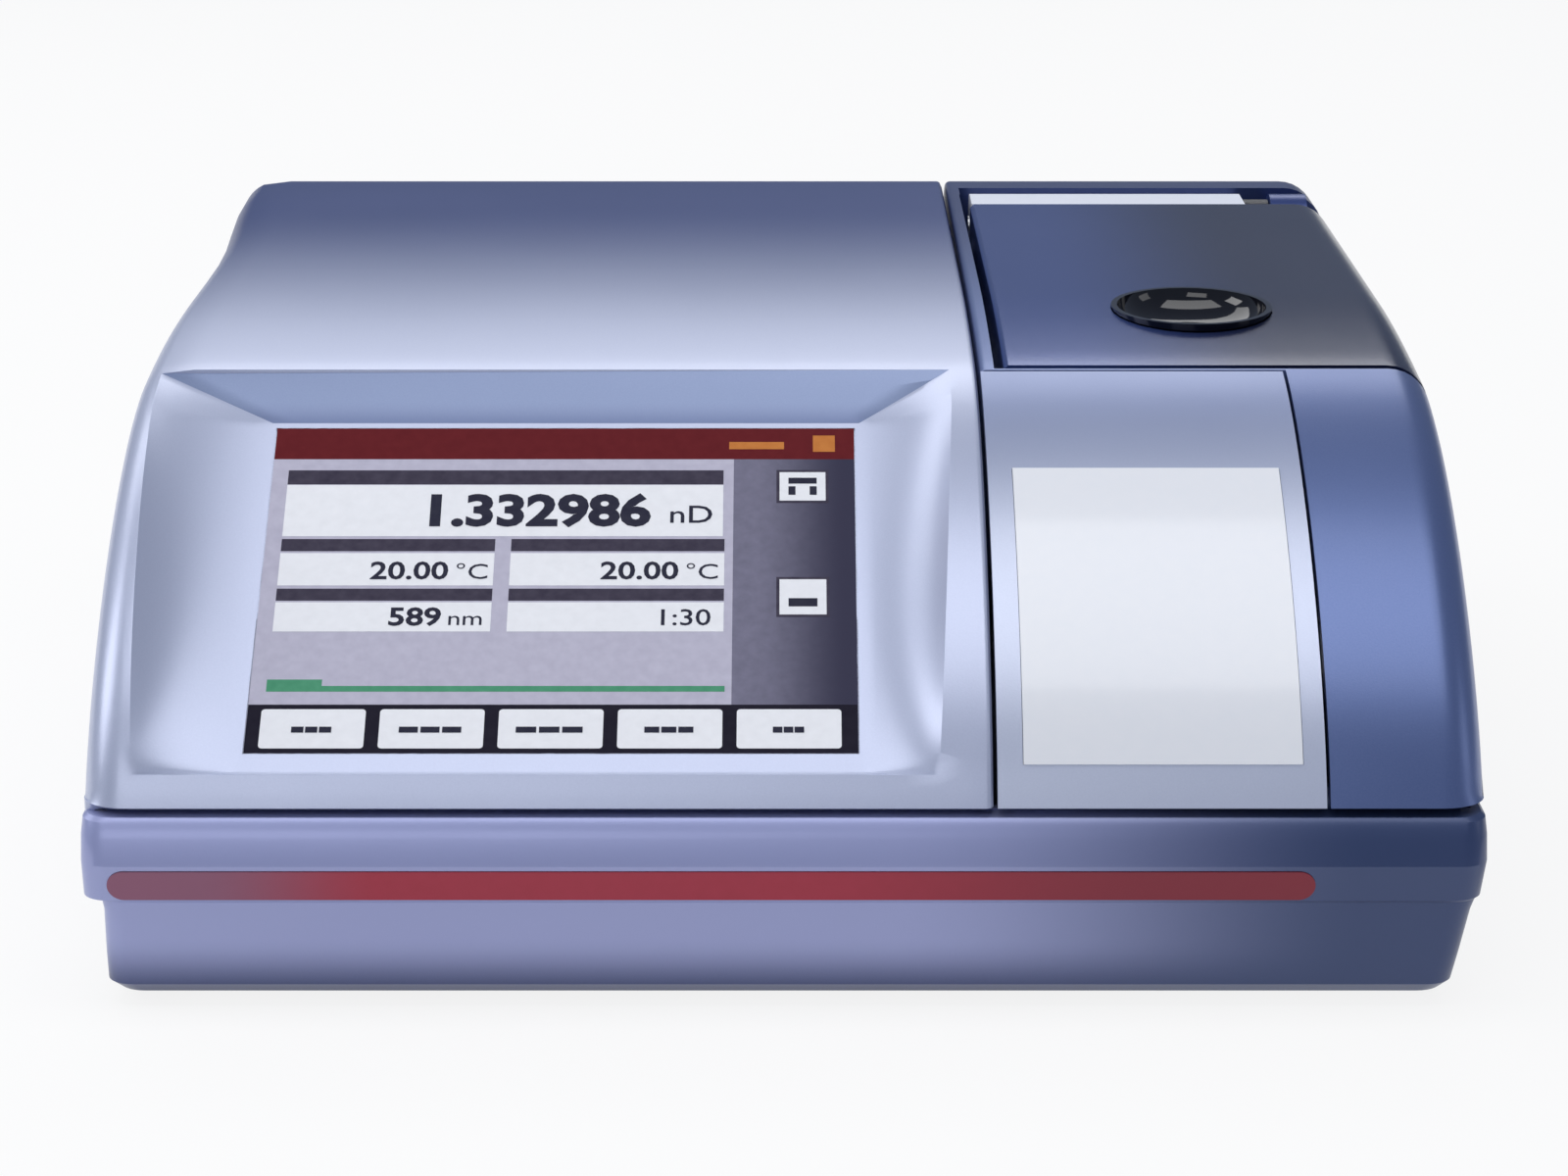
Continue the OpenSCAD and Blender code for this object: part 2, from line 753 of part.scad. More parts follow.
// Mains inlet with its three-pin recess and a pocket for the fuse drawer
module inlet_socket() {
    color("black")
        difference() {
            union() {
                block([inlet_x - 25, panel_f, inlet_z - 14], [inlet_x + 25, panel_f + 2.4, inlet_z + 14]);
                block([inlet_x - 14, panel_f - 22, inlet_z - 10], [inlet_x + 14, panel_f, inlet_z + 10]);
            }
            block([inlet_x - 12, panel_f - 16, inlet_z - 3.6], [inlet_x + 12, panel_f + 4, inlet_z + 8.4]);
            block([inlet_x - 10, panel_f - 18, inlet_z - 9], [inlet_x + 10, panel_f + 4, inlet_z - 5]);
            for (x = [-1, 1])
                rod_y(screw_r + 0.2, panel_f - 1, panel_f + 4, inlet_x + x * 20, inlet_z);
        }
}

// Contact pins of the mains inlet
module inlet_pins() {
    color("silver")
        for (x = [-1, 0, 1])
            block([inlet_x + x * 7 - 1, panel_f - 16, inlet_z + (x == 0 ? 3 : -1)],
                [inlet_x + x * 7 + 1, panel_f - 2, inlet_z + (x == 0 ? 7 : 3)]);
}

// Drawer that holds the mains fuse
module fuse_drawer() {
    color("black") {
        difference() {
            block([inlet_x - 9.7, panel_f - 17, inlet_z - 8.7],
                [inlet_x + 9.7, panel_f + 2.4, inlet_z - 5.3]);
            block([inlet_x - 8, panel_f - 15, inlet_z - 7.4], [inlet_x + 8, panel_f - 3, inlet_z - 4]);
        }
        block([inlet_x - 3, panel_f + 2.4, inlet_z - 8], [inlet_x + 3, panel_f + 2.9, inlet_z - 6]);
    }
}

rocker_axis_f = panel_f - 2;
// Frame of the mains switch
module switch_frame() {
    color("black")
        difference() {
            union() {
                block([switch_x - 7.5, panel_f, inlet_z - 10.5],
                    [switch_x + 7.5, panel_f + 1.6, inlet_z + 10.5]);
                block([switch_x - 6.5, panel_f - 16, inlet_z - 9.5],
                    [switch_x + 6.5, panel_f, inlet_z + 9.5]);
            }
            block([switch_x - 5, panel_f - 12, inlet_z - 8.6], [switch_x + 5, panel_f + 4, inlet_z + 8.6]);
            rod_x(rocker_pin + pin_clear, switch_x - 6, switch_x + 6, rocker_axis_f, inlet_z);
        }
}

rocker_tilt = 9;
// Rocker of the mains switch on its own pivot pins, tipped to its off side
module power_rocker() {
    color("firebrick") {
        translate([0, fy(rocker_axis_f), inlet_z])
            rotate([-rocker_tilt, 0, 0])
                translate([0, -fy(rocker_axis_f), -inlet_z])
                    rocker_body();
        rod_x(rocker_pin, switch_x - 5.8, switch_x + 5.8, rocker_axis_f, inlet_z);
    }
}

rocker_pin = 1.2;
rocker_w = 9.2;
rocker_l = 8.1;
// Body of the rocker: two faces that meet at an obtuse angle over the pivot
module rocker_body() {
    intersection() {
        rod_x(rocker_l, switch_x - rocker_w / 2, switch_x + rocker_w / 2, rocker_axis_f - 1, inlet_z);
        union()
            for (s = [-1, 1])
                translate([0, fy(rocker_axis_f), inlet_z])
                    rotate([s * rocker_tilt, 0, 0])
                        translate([switch_x - rocker_w / 2, -5, s < 0 ? -eps : -rocker_l - 0.5])
                            cube([rocker_w, 7.4, rocker_l + 0.5 + eps]);
    }
}

// Shielded network socket
module ethernet_socket() {
    color("silver")
        difference() {
            block([ether_x - 8, panel_f - 18, port_z - 6.8], [ether_x + 8, panel_f + 0.6, port_z + 6.8]);
            block([ether_x - 5.9, panel_f - 12, port_z - 4.6], [ether_x + 5.9, panel_f + 2, port_z + 3.4]);
            block([ether_x - 3, panel_f - 12, port_z - 6], [ether_x + 3, panel_f + 2, port_z]);
        }
}

// Stacked pair of USB sockets
module usb_sockets() {
    color("silver")
        difference() {
            block([usb_x - 7.3, panel_f - 17, port_z - 7.9], [usb_x + 7.3, panel_f + 0.6, port_z + 7.9]);
            for (s = [-1, 1]) {
                block([usb_x - 6.2, panel_f - 12, port_z + s * 4 - 2.6],
                    [usb_x + 6.2, panel_f + 2, port_z + s * 4 + 2.6]);
            }
        }
}

// Nine-way serial socket
module serial_socket() {
    color("silver")
        difference() {
            union() {
                block([serial_x - 15.4, panel_f, port_z - 6.2],
                    [serial_x + 15.4, panel_f + 0.8, port_z + 6.2]);
                block([serial_x - 9.6, panel_f - 10, port_z - 5], [serial_x + 9.6, panel_f, port_z + 5]);
                serial_shell(8.6, 2.4);
            }
            serial_shell(7.8, 3);
            for (x = [-1, 1])
                rod_y(1.5, panel_f - 1, panel_f + 2, serial_x + x * 12.5, port_z);
        }
}

// Keyed outline of the serial socket
module serial_shell(w, out) {
    h = w - 4.2;
    translate([serial_x, fy(panel_f - 2), port_z])
        rotate([-90, 0, 0])
            linear_extrude(2 + out)
                polygon([[-w, -h], [w, -h], [w - 1.4, h], [-w + 1.4, h]]);
}

fan_f = panel_f - panel_t;
// Square fan frame behind the rear panel
module fan_frame() {
    color("black")
        difference() {
            block([fan_x - fan_side / 2, fan_f - fan_t, fan_z - fan_side / 2],
                [fan_x + fan_side / 2, fan_f, fan_z + fan_side / 2]);
            rod_y(fan_side / 2 - 2, fan_f - fan_t - 1, fan_f - 3, fan_x, fan_z);
            difference() {
                rod_y(fan_side / 2 - 2, fan_f - 3 - eps, fan_f + 1, fan_x, fan_z);
                rod_y(10, fan_f - 4, fan_f, fan_x, fan_z);
                for (a = [45, 135])
                    translate([fan_x, fy(fan_f - 1.5), fan_z])
                        rotate([0, a, 0])
                            cube([fan_side, 3, 3], center = true);
            }
            rod_y(2.06, fan_f - 3 - eps, fan_f - 0.5, fan_x, fan_z);
            for (x = [-1, 1], z = [-1, 1])
                rod_y(screw_r + 0.2, fan_f - fan_t - 1, fan_f + 1,
                    fan_x + x * fan_hole, fan_z + z * fan_hole);
        }
}

// Fan rotor: hub, blades and shaft
module fan_rotor() {
    color("black") {
        rod_y(10, fan_f - fan_t + 1, fan_f - 3.5, fan_x, fan_z);
        rod_y(2, fan_f - 4, fan_f - 1, fan_x, fan_z);
        for (i = [0:fan_blades - 1])
            translate([fan_x, fy(fan_f - fan_t + 1), fan_z])
                rotate([-90, 360 / fan_blades * i, 0])
                    fan_blade();
    }
}

// One curved and pitched fan blade
module fan_blade() {
    reach = fan_side / 2 - 2 - 0.8;
    intersection() {
        cylinder(r = reach, h = fan_t - 4.8);
        translate([0, 0, (fan_t - 4.8) / 2])
            rotate([0, 40, 0])
                translate([-0.6, 9, -8])
                    cube([1.2, reach, 16]);
    }
}

guard_wire = 0.8;
// Wire guard over the fan's opening: rings on a cross with an eyelet at each end
module fan_guard() {
    reach = fan_hole * sqrt(2);
    color("silver")
        difference() {
            union() {
                for (r = [8, 15, 22])
                    translate([fan_x, fy(panel_f + 2 * guard_wire), fan_z])
                        rotate([90, 0, 0])
                            rotate_extrude()
                                translate([r, 0])
                                    circle(guard_wire - 0.1, $fn = 16);
                for (a = [45, 135])
                    translate([fan_x, fy(panel_f + guard_wire), fan_z])
                        rotate([0, a, 0])
                            translate([-reach, -guard_wire, -guard_wire])
                                cube([2 * reach, 2 * guard_wire, 2 * guard_wire]);
                for (x = [-1, 1], z = [-1, 1])
                    rod_y(screw_r + 1.6, panel_f, panel_f + 2 * guard_wire,
                        fan_x + x * fan_hole, fan_z + z * fan_hole);
            }
            for (x = [-1, 1], z = [-1, 1])
                rod_y(screw_r + eps, panel_f - 1, panel_f + 3,
                    fan_x + x * fan_hole, fan_z + z * fan_hole);
        }
}

sink_f = 236;
sink_l = 78;
sink_w = 66;
sink_z = 68;
block_top = deck_z - 7;
// Finned heat sink under the optic block
module heat_sink() {
    color("silver")
        difference() {
            block([prism_x - sink_w / 2, prism_f - 32, sink_z - 5],
                [prism_x + sink_w / 2, sink_f + sink_l, sink_z]);
            for (x = [-1, 1])
                rod_z(screw_r, prism_x + x * 26, prism_f - 24, sink_z - 4, sink_z + 1);
        }
    pitch = sink_w / (fins - 0.6);
    color("silver")
        for (i = [0:fins - 1])
            block([prism_x - sink_w / 2 + i * pitch, prism_f - 32, sink_z - 26],
                [prism_x - sink_w / 2 + i * pitch + 0.4 * pitch, sink_f + sink_l - 12, sink_z - 5]);
}

module rod_z(r, x, f, za, zb) {
    translate([x, fy(f), za])
        cylinder(r = r, h = zb - za);
}

peltier_t = 3.6;
// Thermoelectric modules between the optic block and the heat sink
module peltier() {
    color("ivory")
        for (x = [-1, 1])
            block([prism_x + x * 17 - 14, prism_f - 14, sink_z],
                [prism_x + x * 17 + 14, prism_f + 14, sink_z + peltier_t]);
}

// Metal block that holds the prism and carries the light path
module optic_block() {
    low = sink_z + peltier_t;
    color("tan")
        difference() {
            union() {
                block([prism_x - 32, prism_f - 26, low], [prism_x + 32, prism_f + 26, low + 12]);
                rod_z(24, prism_x, prism_f, low + 10, block_top);
            }
            prism_seat(0);
            for (s = [-1, 1])
                translate([prism_x, fy(prism_f), block_top - 4])
                    rotate([0, s * 62, 0])
                        translate([0, 0, -50])
                            cylinder(r = 5, h = 46);
        }
}

prism_w = 16;
prism_h = 9;
// Seat of the prism in the block
module prism_seat(g) {
    block([prism_x - prism_w / 2 - g, prism_f - prism_w / 2 - g, block_top - prism_h],
        [prism_x + prism_w / 2 + g, prism_f + prism_w / 2 + g, block_top + 1]);
}

// Measuring prism with its slanted entry and exit faces
module sapphire_prism() {
    color("lightcyan")
        translate([prism_x, fy(prism_f + prism_w / 2), block_top - prism_h])
            rotate([90, 0, 0])
                linear_extrude(prism_w)
                    polygon([[-prism_w / 2 + 4, 0], [prism_w / 2 - 4, 0], [prism_w / 2, 6],
                        [prism_w / 2, prism_h], [-prism_w / 2, prism_h], [-prism_w / 2, 6]]);
}

// Seal between the prism and the sample plate
module prism_seal() {
    color("black")
        translate([prism_x, fy(prism_f), block_top])
            rotate_extrude()
                translate([12.5, 0])
                    square([3, 1.2]);
}

// Polished sample plate: a funnel-shaped well over the prism
module sample_plate() {
    color("silver")
        translate([prism_x, fy(prism_f), 0])
            difference() {
                rotate_extrude($fn = 64)
                    polygon([[6, block_top + 1.2], [22, block_top + 1.2], [26, deck_z - 4.4],
                        [plate_r - 6.4, deck_z - 4.4], [plate_r - 6.4, deck_z - 1], [plate_r, deck_z - 1],
                        [plate_r, deck_z], [plate_r - 1, deck_z + 0.4], [plate_r - 6, deck_z + 0.4],
                        [24, deck_z - 2.4], [17, block_top + 2.6], [6.8, block_top + 1.8]]);
                for (i = [0:2])
                    rotate([0, 0, 90 + 120 * i])
                        translate([plate_r - 3, 0, deck_z - 2])
                            cylinder(r = screw_r, h = 4);
            }
}

// Light source on the left of the optic block
module led_source() {
    z = sink_z + peltier_t + 6;
    color("darkgreen") {
        block([prism_x - 34, prism_f - 9, z - 6], [prism_x - 32, prism_f + 9, z + 8]);
        rod_x(3.5, prism_x - 40, prism_x - 34, prism_f, z);
    }
}

// Tube that leads the refracted light to the sensor
module lens_tube() {
    z = sink_z + peltier_t + 6;
    color("dimgray")
        difference() {
            rod_x(6, prism_x + 32, prism_x + 42, prism_f, z);
            rod_x(4.6, prism_x + 31, prism_x + 43, prism_f, z);
        }
}

// Lens pressed into the tube
module lens() {
    z = sink_z + peltier_t + 6;
    color("lightcyan")
        translate([prism_x + 36, fy(prism_f), z])
            rotate([0, 90, 0])
                rotate_extrude()
                    polygon([[0, -1.6], [2.4, -1.2], [4.6, -0.4], [4.6, 0.4], [2.4, 1.2], [0, 1.6]]);
}

// Line sensor board at the end of the tube
module sensor_board() {
    z = sink_z + peltier_t + 6;
    color("darkgreen") {
        block([prism_x + 42, prism_f - 12, z - 10], [prism_x + 43.6, prism_f + 12, z + 12]);
        block([prism_x + 43.6, prism_f - 8, z - 3], [prism_x + 46, prism_f + 8, z + 3]);
    }
}

barrel_x = lid_x + 0.5;
hub_x = barrel_x + barrel_l + 0.4;
knuckle_x = hub_x + hub_l + 0.4;
// Pin of the lid hinge
module hinge_pin() {
    color("silver")
        rod_x(pin_r, barrel_x - 0.4, knuckle_x + knuckle_l - 0.5, hinge_f, barrel_z);
}

// Foot that joins a hinge piece from x0 to x1 to the wall of the trough behind it
module hinge_foot(x0, x1) {
    intersection() {
        block([x0, hinge_f, barrel_z - barrel_r - hinge_gap],
            [x1, hinge_f + barrel_r + hinge_gap, barrel_z]);
        rod_x(barrel_r + hinge_gap, x0, x1, hinge_f, barrel_z);
    }
}

// Friction hub that holds the lid where it is put
module friction_hub() {
    color("dimgray")
        difference() {
            union() {
                rod_x(barrel_r - 1.5, hub_x, hub_x + hub_l, hinge_f, barrel_z);
                hinge_foot(hub_x, hub_x + hub_l);
            }
            rod_x(pin_r, hub_x - 1, hub_x + hub_l + 1, hinge_f, barrel_z);
        }
}

// Fixed knuckle at the right end of the hinge
module fixed_knuckle() {
    color("silver")
        difference() {
            union() {
                rod_x(barrel_r, knuckle_x, knuckle_x + knuckle_l, hinge_f, barrel_z);
                hinge_foot(knuckle_x, knuckle_x + knuckle_l);
            }
            rod_x(pin_r, knuckle_x - 1, knuckle_x + knuckle_l + 1, hinge_f, barrel_z);
        }
}

lid_end = hinge_f - barrel_r - 6;
// Side view of the lid's top, as [distance behind the nose, height]
lid_top = concat([[lid_f, height_at(lid_f)]],
    [for (p = profile) if (p[0] > lid_f + 1 && p[0] < lid_end - 1) p],
    [[lid_end, body_h]]);

// Outer form of the lid, or its hollow when d is its wall: a flat left side and a round right shoulder
module lid_form(xl, xr, fa, fb, d, low) {
    tops = [for (p = lid_top) [min(max(p[0], fa), fb), p[1] - d]];
    r = side_r - d;
    stations = concat([[xl, 1], [xl + 1, 0]], [for (k = [edge_steps:-1:0]) let(a = 90 * k / edge_steps)
        [xr - r * (1 - cos(a)), r * (1 - sin(a))]]);
    n = len(tops) + 2;
    points = [for (s = stations) each concat([[s[0], fy(fa), low]],
        [for (p = tops) [s[0], fy(p[0]), p[1] - s[1]]], [[s[0], fy(fb), low]])];
    polyhedron(points, turned_skin(len(stations), n), convexity = 4);
}

module dish_hole(grow, depth) {
    points = [for (i = [0:31]) let(a = 360 * i / 32)
        [(dish_w / 2 + grow) * cos(a), (dish_l / 2 + grow) * sin(a)]];
    translate([dish_x, fy(dish_f), body_h - depth])
        linear_extrude(depth + 5)
            polygon(points);
}

// Shell of the sample lid, which wraps over the right shoulder
module lid_shell() {
    color("midnightblue")
        difference() {
            lid_form(lid_x, half_w, lid_f, lid_end, 0, lid_low);
            lid_form(lid_x + 2.5, half_w - wall, lid_f + 2.5, lid_end - 2.5, wall, lid_low - 1);
            dish_hole(0.1, 12);
        }
}

// Hinge barrel at the rear of the lid, with the web that joins it to the shell
module lid_barrel() {
    color("lightsteelblue")
        difference() {
            union() {
                rod_x(barrel_r, barrel_x, barrel_x + barrel_l, hinge_f, barrel_z);
                block([barrel_x, lid_end, barrel_z - 3], [barrel_x + barrel_l, hinge_f, body_h]);
            }
            rod_x(pin_r + pin_clear, barrel_x - 1, barrel_x + barrel_l + 1, hinge_f, barrel_z);
        }
}

dish_steps = 8;
dish_wall = 1.4;
// Rings of the finger dish, from the rim down to its floor
function dish_ring(k, g, n) = let(a = 90 * k / dish_steps)
    [for (i = [0:n - 1]) let(b = 360 * i / n)
        [dish_x + (dish_w / 2 - g) * (0.35 + 0.65 * cos(a)) * cos(b),
            fy(dish_f) + (dish_l / 2 - g) * (0.35 + 0.65 * cos(a)) * sin(b),
            body_h + 0.3 - (dish_depth - (g > 0 ? dish_wall : 0)) * sin(a)]];

// Oval finger dish set into the lid
module lid_dish() {
    n = 32;
    outer = [for (k = [dish_steps:-1:0]) dish_ring(k, 0, n)];
    inner = [for (k = [0:dish_steps]) dish_ring(k, dish_wall, n)];
    rings = concat(outer, inner);
    color("black")
        polyhedron([for (ring = rings) for (p = ring) p], skin(len(rings), n), convexity = 4);
}

liner_t = 1.6;
// Inner plate that closes the lid's underside
module lid_liner() {
    color("dimgray")
        block([lid_x + 2.6, lid_f + 2.6, lid_low + 0.6],
            [half_w - wall - 0.1, lid_end - 2.6, lid_low + 0.6 + liner_t]);
}

// Soft ring on the liner that closes over the sample plate
module lid_seal() {
    color("black")
        translate([prism_x, fy(prism_f), deck_z + 0.7])
            difference() {
                cylinder(r = plate_r - 0.5, h = lid_low + 0.6 - deck_z - 0.7);
                translate([0, 0, -1])
                    cylinder(r = plate_r - 6, h = 5);
            }
}

bumper_spots = [for (x = [lid_x + 1.3, half_w - 1.8], f = [lid_f + 30, hinge_f - 40]) [x, f]];
// Rubber bumpers that the lid rests on
module deck_bumpers() {
    color("black")
        for (p = bumper_spots)
            rod_z(1.2, p[0], p[1], deck_z, lid_low - clear);
}

// Rubber feet, each with a recess for its screw
module rubber_feet() {
    color("black")
        for (p = foot_spots)
            translate([p[0], fy(p[1]), 0])
                rotate_extrude()
                    polygon([[screw_r + 0.2, 1.6], [4, 1.6], [4, 0], [8.2, 0], [9, 0.8],
                        [9, foot_h], [screw_r + 0.2, foot_h]]);
}

// Screws that hold the feet
module foot_screws() {
    color("silver")
        for (p = foot_spots)
            translate([p[0], fy(p[1]), 0.5])
                union() {
                    cylinder(r = 3.4, h = 1.1);
                    cylinder(r = screw_r, h = floor_z + 1);
                }
}

// Screws from the base up into the covers
module case_screws() {
    color("silver")
        for (p = posts)
            translate([p[0], fy(p[1]), foot_h - head_out])
                union() {
                    cylinder(r = head_r, h = head_t);
                    cylinder(r = screw_r, h = base_top + 7);
                }
}

// Screws of the fan guard and the mains inlet
module panel_screws() {
    color("silver")
        for (i = [0:len(screw_spots) - 1]) {
            out = i < 4 ? panel_f + 2 * guard_wire : panel_f + 2.4;
            rod_y(2.8, out, out + 0.5, screw_spots[i][0], screw_spots[i][1]);
            rod_y(screw_r, panel_f - 8, out + 0.2, screw_spots[i][0], screw_spots[i][1]);
        }
}

base_tray();
display_cover();
sample_cover();
front_tongue();
inlay_plate();
red_stripe();
rear_panel();
touch_glass();
lcd_panel();
display_gasket();
display_bracket();
main_board();
board_chips();
board_standoffs();
power_supply();
supply_parts();
inlet_socket();
inlet_pins();
fuse_drawer();
switch_frame();
power_rocker();
ethernet_socket();
usb_sockets();
serial_socket();
fan_frame();
fan_rotor();
fan_guard();
heat_sink();
peltier();
optic_block();
sapphire_prism();
prism_seal();
sample_plate();
led_source();
lens_tube();
lens();
sensor_board();
hinge_pin();
friction_hub();
fixed_knuckle();
lid_shell();
lid_barrel();
lid_dish();
lid_liner();
lid_seal();
deck_bumpers();
rubber_feet();
foot_screws();
case_screws();
panel_screws();
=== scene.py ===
"""Bench refractometer with a touch screen and a hinged sample lid: the dressed model."""

import logging
import math
from dataclasses import dataclass, field, replace
from enum import Enum

import bmesh
import bpy
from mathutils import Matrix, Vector
from mathutils.kdtree import KDTree

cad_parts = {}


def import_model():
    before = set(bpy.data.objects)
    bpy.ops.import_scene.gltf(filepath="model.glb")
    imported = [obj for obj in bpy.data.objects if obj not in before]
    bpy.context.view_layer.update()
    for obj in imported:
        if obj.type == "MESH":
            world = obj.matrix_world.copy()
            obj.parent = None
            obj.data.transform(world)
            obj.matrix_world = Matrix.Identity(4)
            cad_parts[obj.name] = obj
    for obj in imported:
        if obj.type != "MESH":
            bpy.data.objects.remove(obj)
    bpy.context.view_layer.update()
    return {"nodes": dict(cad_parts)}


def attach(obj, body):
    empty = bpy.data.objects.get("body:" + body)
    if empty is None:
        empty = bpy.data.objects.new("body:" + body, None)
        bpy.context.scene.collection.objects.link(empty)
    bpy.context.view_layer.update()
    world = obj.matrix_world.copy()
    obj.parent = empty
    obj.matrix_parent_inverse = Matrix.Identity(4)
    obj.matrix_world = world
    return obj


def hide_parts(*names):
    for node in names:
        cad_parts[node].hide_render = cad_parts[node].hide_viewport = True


LOG = logging.getLogger("refractometer")
BODY_D = 345.0
MM = 0.001

Rgb = tuple[float, float, float]
Point = tuple[float, float, float]
Flat = tuple[float, float]
Faces = list[tuple[int, ...]]


def place(x: float, f: float, z: float) -> Point:
    """A point x across, f behind the nose and z above the table, in millimetres, as metres."""
    return (x * MM, (f - BODY_D / 2) * MM, z * MM)


class Grain(Enum):
    """How a surface's fine structure looks."""

    FLAKE = "flake"
    MOULDED = "moulded"
    BRUSHED = "brushed"
    POLISHED = "polished"
    TRACES = "traces"


NOISE_SCALE = 1000.0
GRAIN_SCALE: dict[Grain, Point] = {
    Grain.FLAKE: (2600.0, 2600.0, 2600.0),
    Grain.MOULDED: (1400.0, 1400.0, 1400.0),
    Grain.BRUSHED: (60.0, 2400.0, 2400.0),
    Grain.POLISHED: (320.0, 320.0, 320.0),
    Grain.TRACES: (420.0, 420.0, 420.0),
}


# Shader groups.


def new_group(name: str, inputs: list[tuple[str, str]], outputs: list[tuple[str, str]]) -> bpy.types.NodeTree:
    """An empty shader group with its sockets.

    Args:
        name: The group's name.
        inputs: Name and socket type of each input.
        outputs: Name and socket type of each output.

    Returns:
        The group, with one input and one output node.
    """
    tree = bpy.data.node_groups.new(name, "ShaderNodeTree")
    for label, kind in inputs:
        tree.interface.new_socket(label, in_out="INPUT", socket_type=kind)
    for label, kind in outputs:
        tree.interface.new_socket(label, in_out="OUTPUT", socket_type=kind)
    tree.nodes.new("NodeGroupInput")
    tree.nodes.new("NodeGroupOutput")
    return tree


def fine_grain_group() -> bpy.types.NodeTree:
    """Group with a fine noise that tints a colour and bends the normal."""
    tree = new_group(
        "fine_grain",
        [("Vector", "NodeSocketVector"), ("Scale", "NodeSocketFloat"), ("Bump", "NodeSocketFloat")],
        [("Mask", "NodeSocketFloat"), ("Normal", "NodeSocketVector")],
    )
    nodes, link = tree.nodes, tree.links.new
    src, out = nodes["Group Input"], nodes["Group Output"]
    noise = nodes.new("ShaderNodeTexNoise")
    noise.inputs["Detail"].default_value = 2.0
    link(src.outputs["Vector"], noise.inputs["Vector"])
    link(src.outputs["Scale"], noise.inputs["Scale"])
    bump = nodes.new("ShaderNodeBump")
    bump.inputs["Distance"].default_value = 0.0004
    link(src.outputs["Bump"], bump.inputs["Strength"])
    link(noise.outputs["Fac"], bump.inputs["Height"])
    link(noise.outputs["Fac"], out.inputs["Mask"])
    link(bump.outputs["Normal"], out.inputs["Normal"])
    return tree


def handling_group() -> bpy.types.NodeTree:
    """Group with broad, soft patches, where a surface has been wiped and touched."""
    tree = new_group(
        "handling",
        [("Vector", "NodeSocketVector"), ("Low", "NodeSocketFloat"), ("High", "NodeSocketFloat")],
        [("Value", "NodeSocketFloat")],
    )
    nodes, link = tree.nodes, tree.links.new
    src, out = nodes["Group Input"], nodes["Group Output"]
    noise = nodes.new("ShaderNodeTexNoise")
    noise.inputs["Scale"].default_value = 14.0
    noise.inputs["Detail"].default_value = 3.0
    span = nodes.new("ShaderNodeMapRange")
    link(src.outputs["Vector"], noise.inputs["Vector"])
    link(noise.outputs["Fac"], span.inputs["Value"])
    link(src.outputs["Low"], span.inputs["To Min"])
    link(src.outputs["High"], span.inputs["To Max"])
    link(span.outputs["Result"], out.inputs["Value"])
    return tree


def depth_shade_group() -> bpy.types.NodeTree:
    """Group that turns a place along an axis into a mask between two limits, for painted shading."""
    tree = new_group(
        "depth_shade",
        [("Value", "NodeSocketFloat"), ("From", "NodeSocketFloat"), ("To", "NodeSocketFloat")],
        [("Mask", "NodeSocketFloat")],
    )
    nodes, link = tree.nodes, tree.links.new
    src, out = nodes["Group Input"], nodes["Group Output"]
    span = nodes.new("ShaderNodeMapRange")
    span.interpolation_type = "SMOOTHSTEP"
    link(src.outputs["Value"], span.inputs["Value"])
    link(src.outputs["From"], span.inputs["From Min"])
    link(src.outputs["To"], span.inputs["From Max"])
    link(span.outputs["Result"], out.inputs["Mask"])
    return tree


class Groups:
    """The shader groups that the finishes share, each built once."""

    def __init__(self) -> None:
        """Builds the three groups."""
        self.grain = fine_grain_group()
        self.handling = handling_group()
        self.shade = depth_shade_group()


# Finishes.


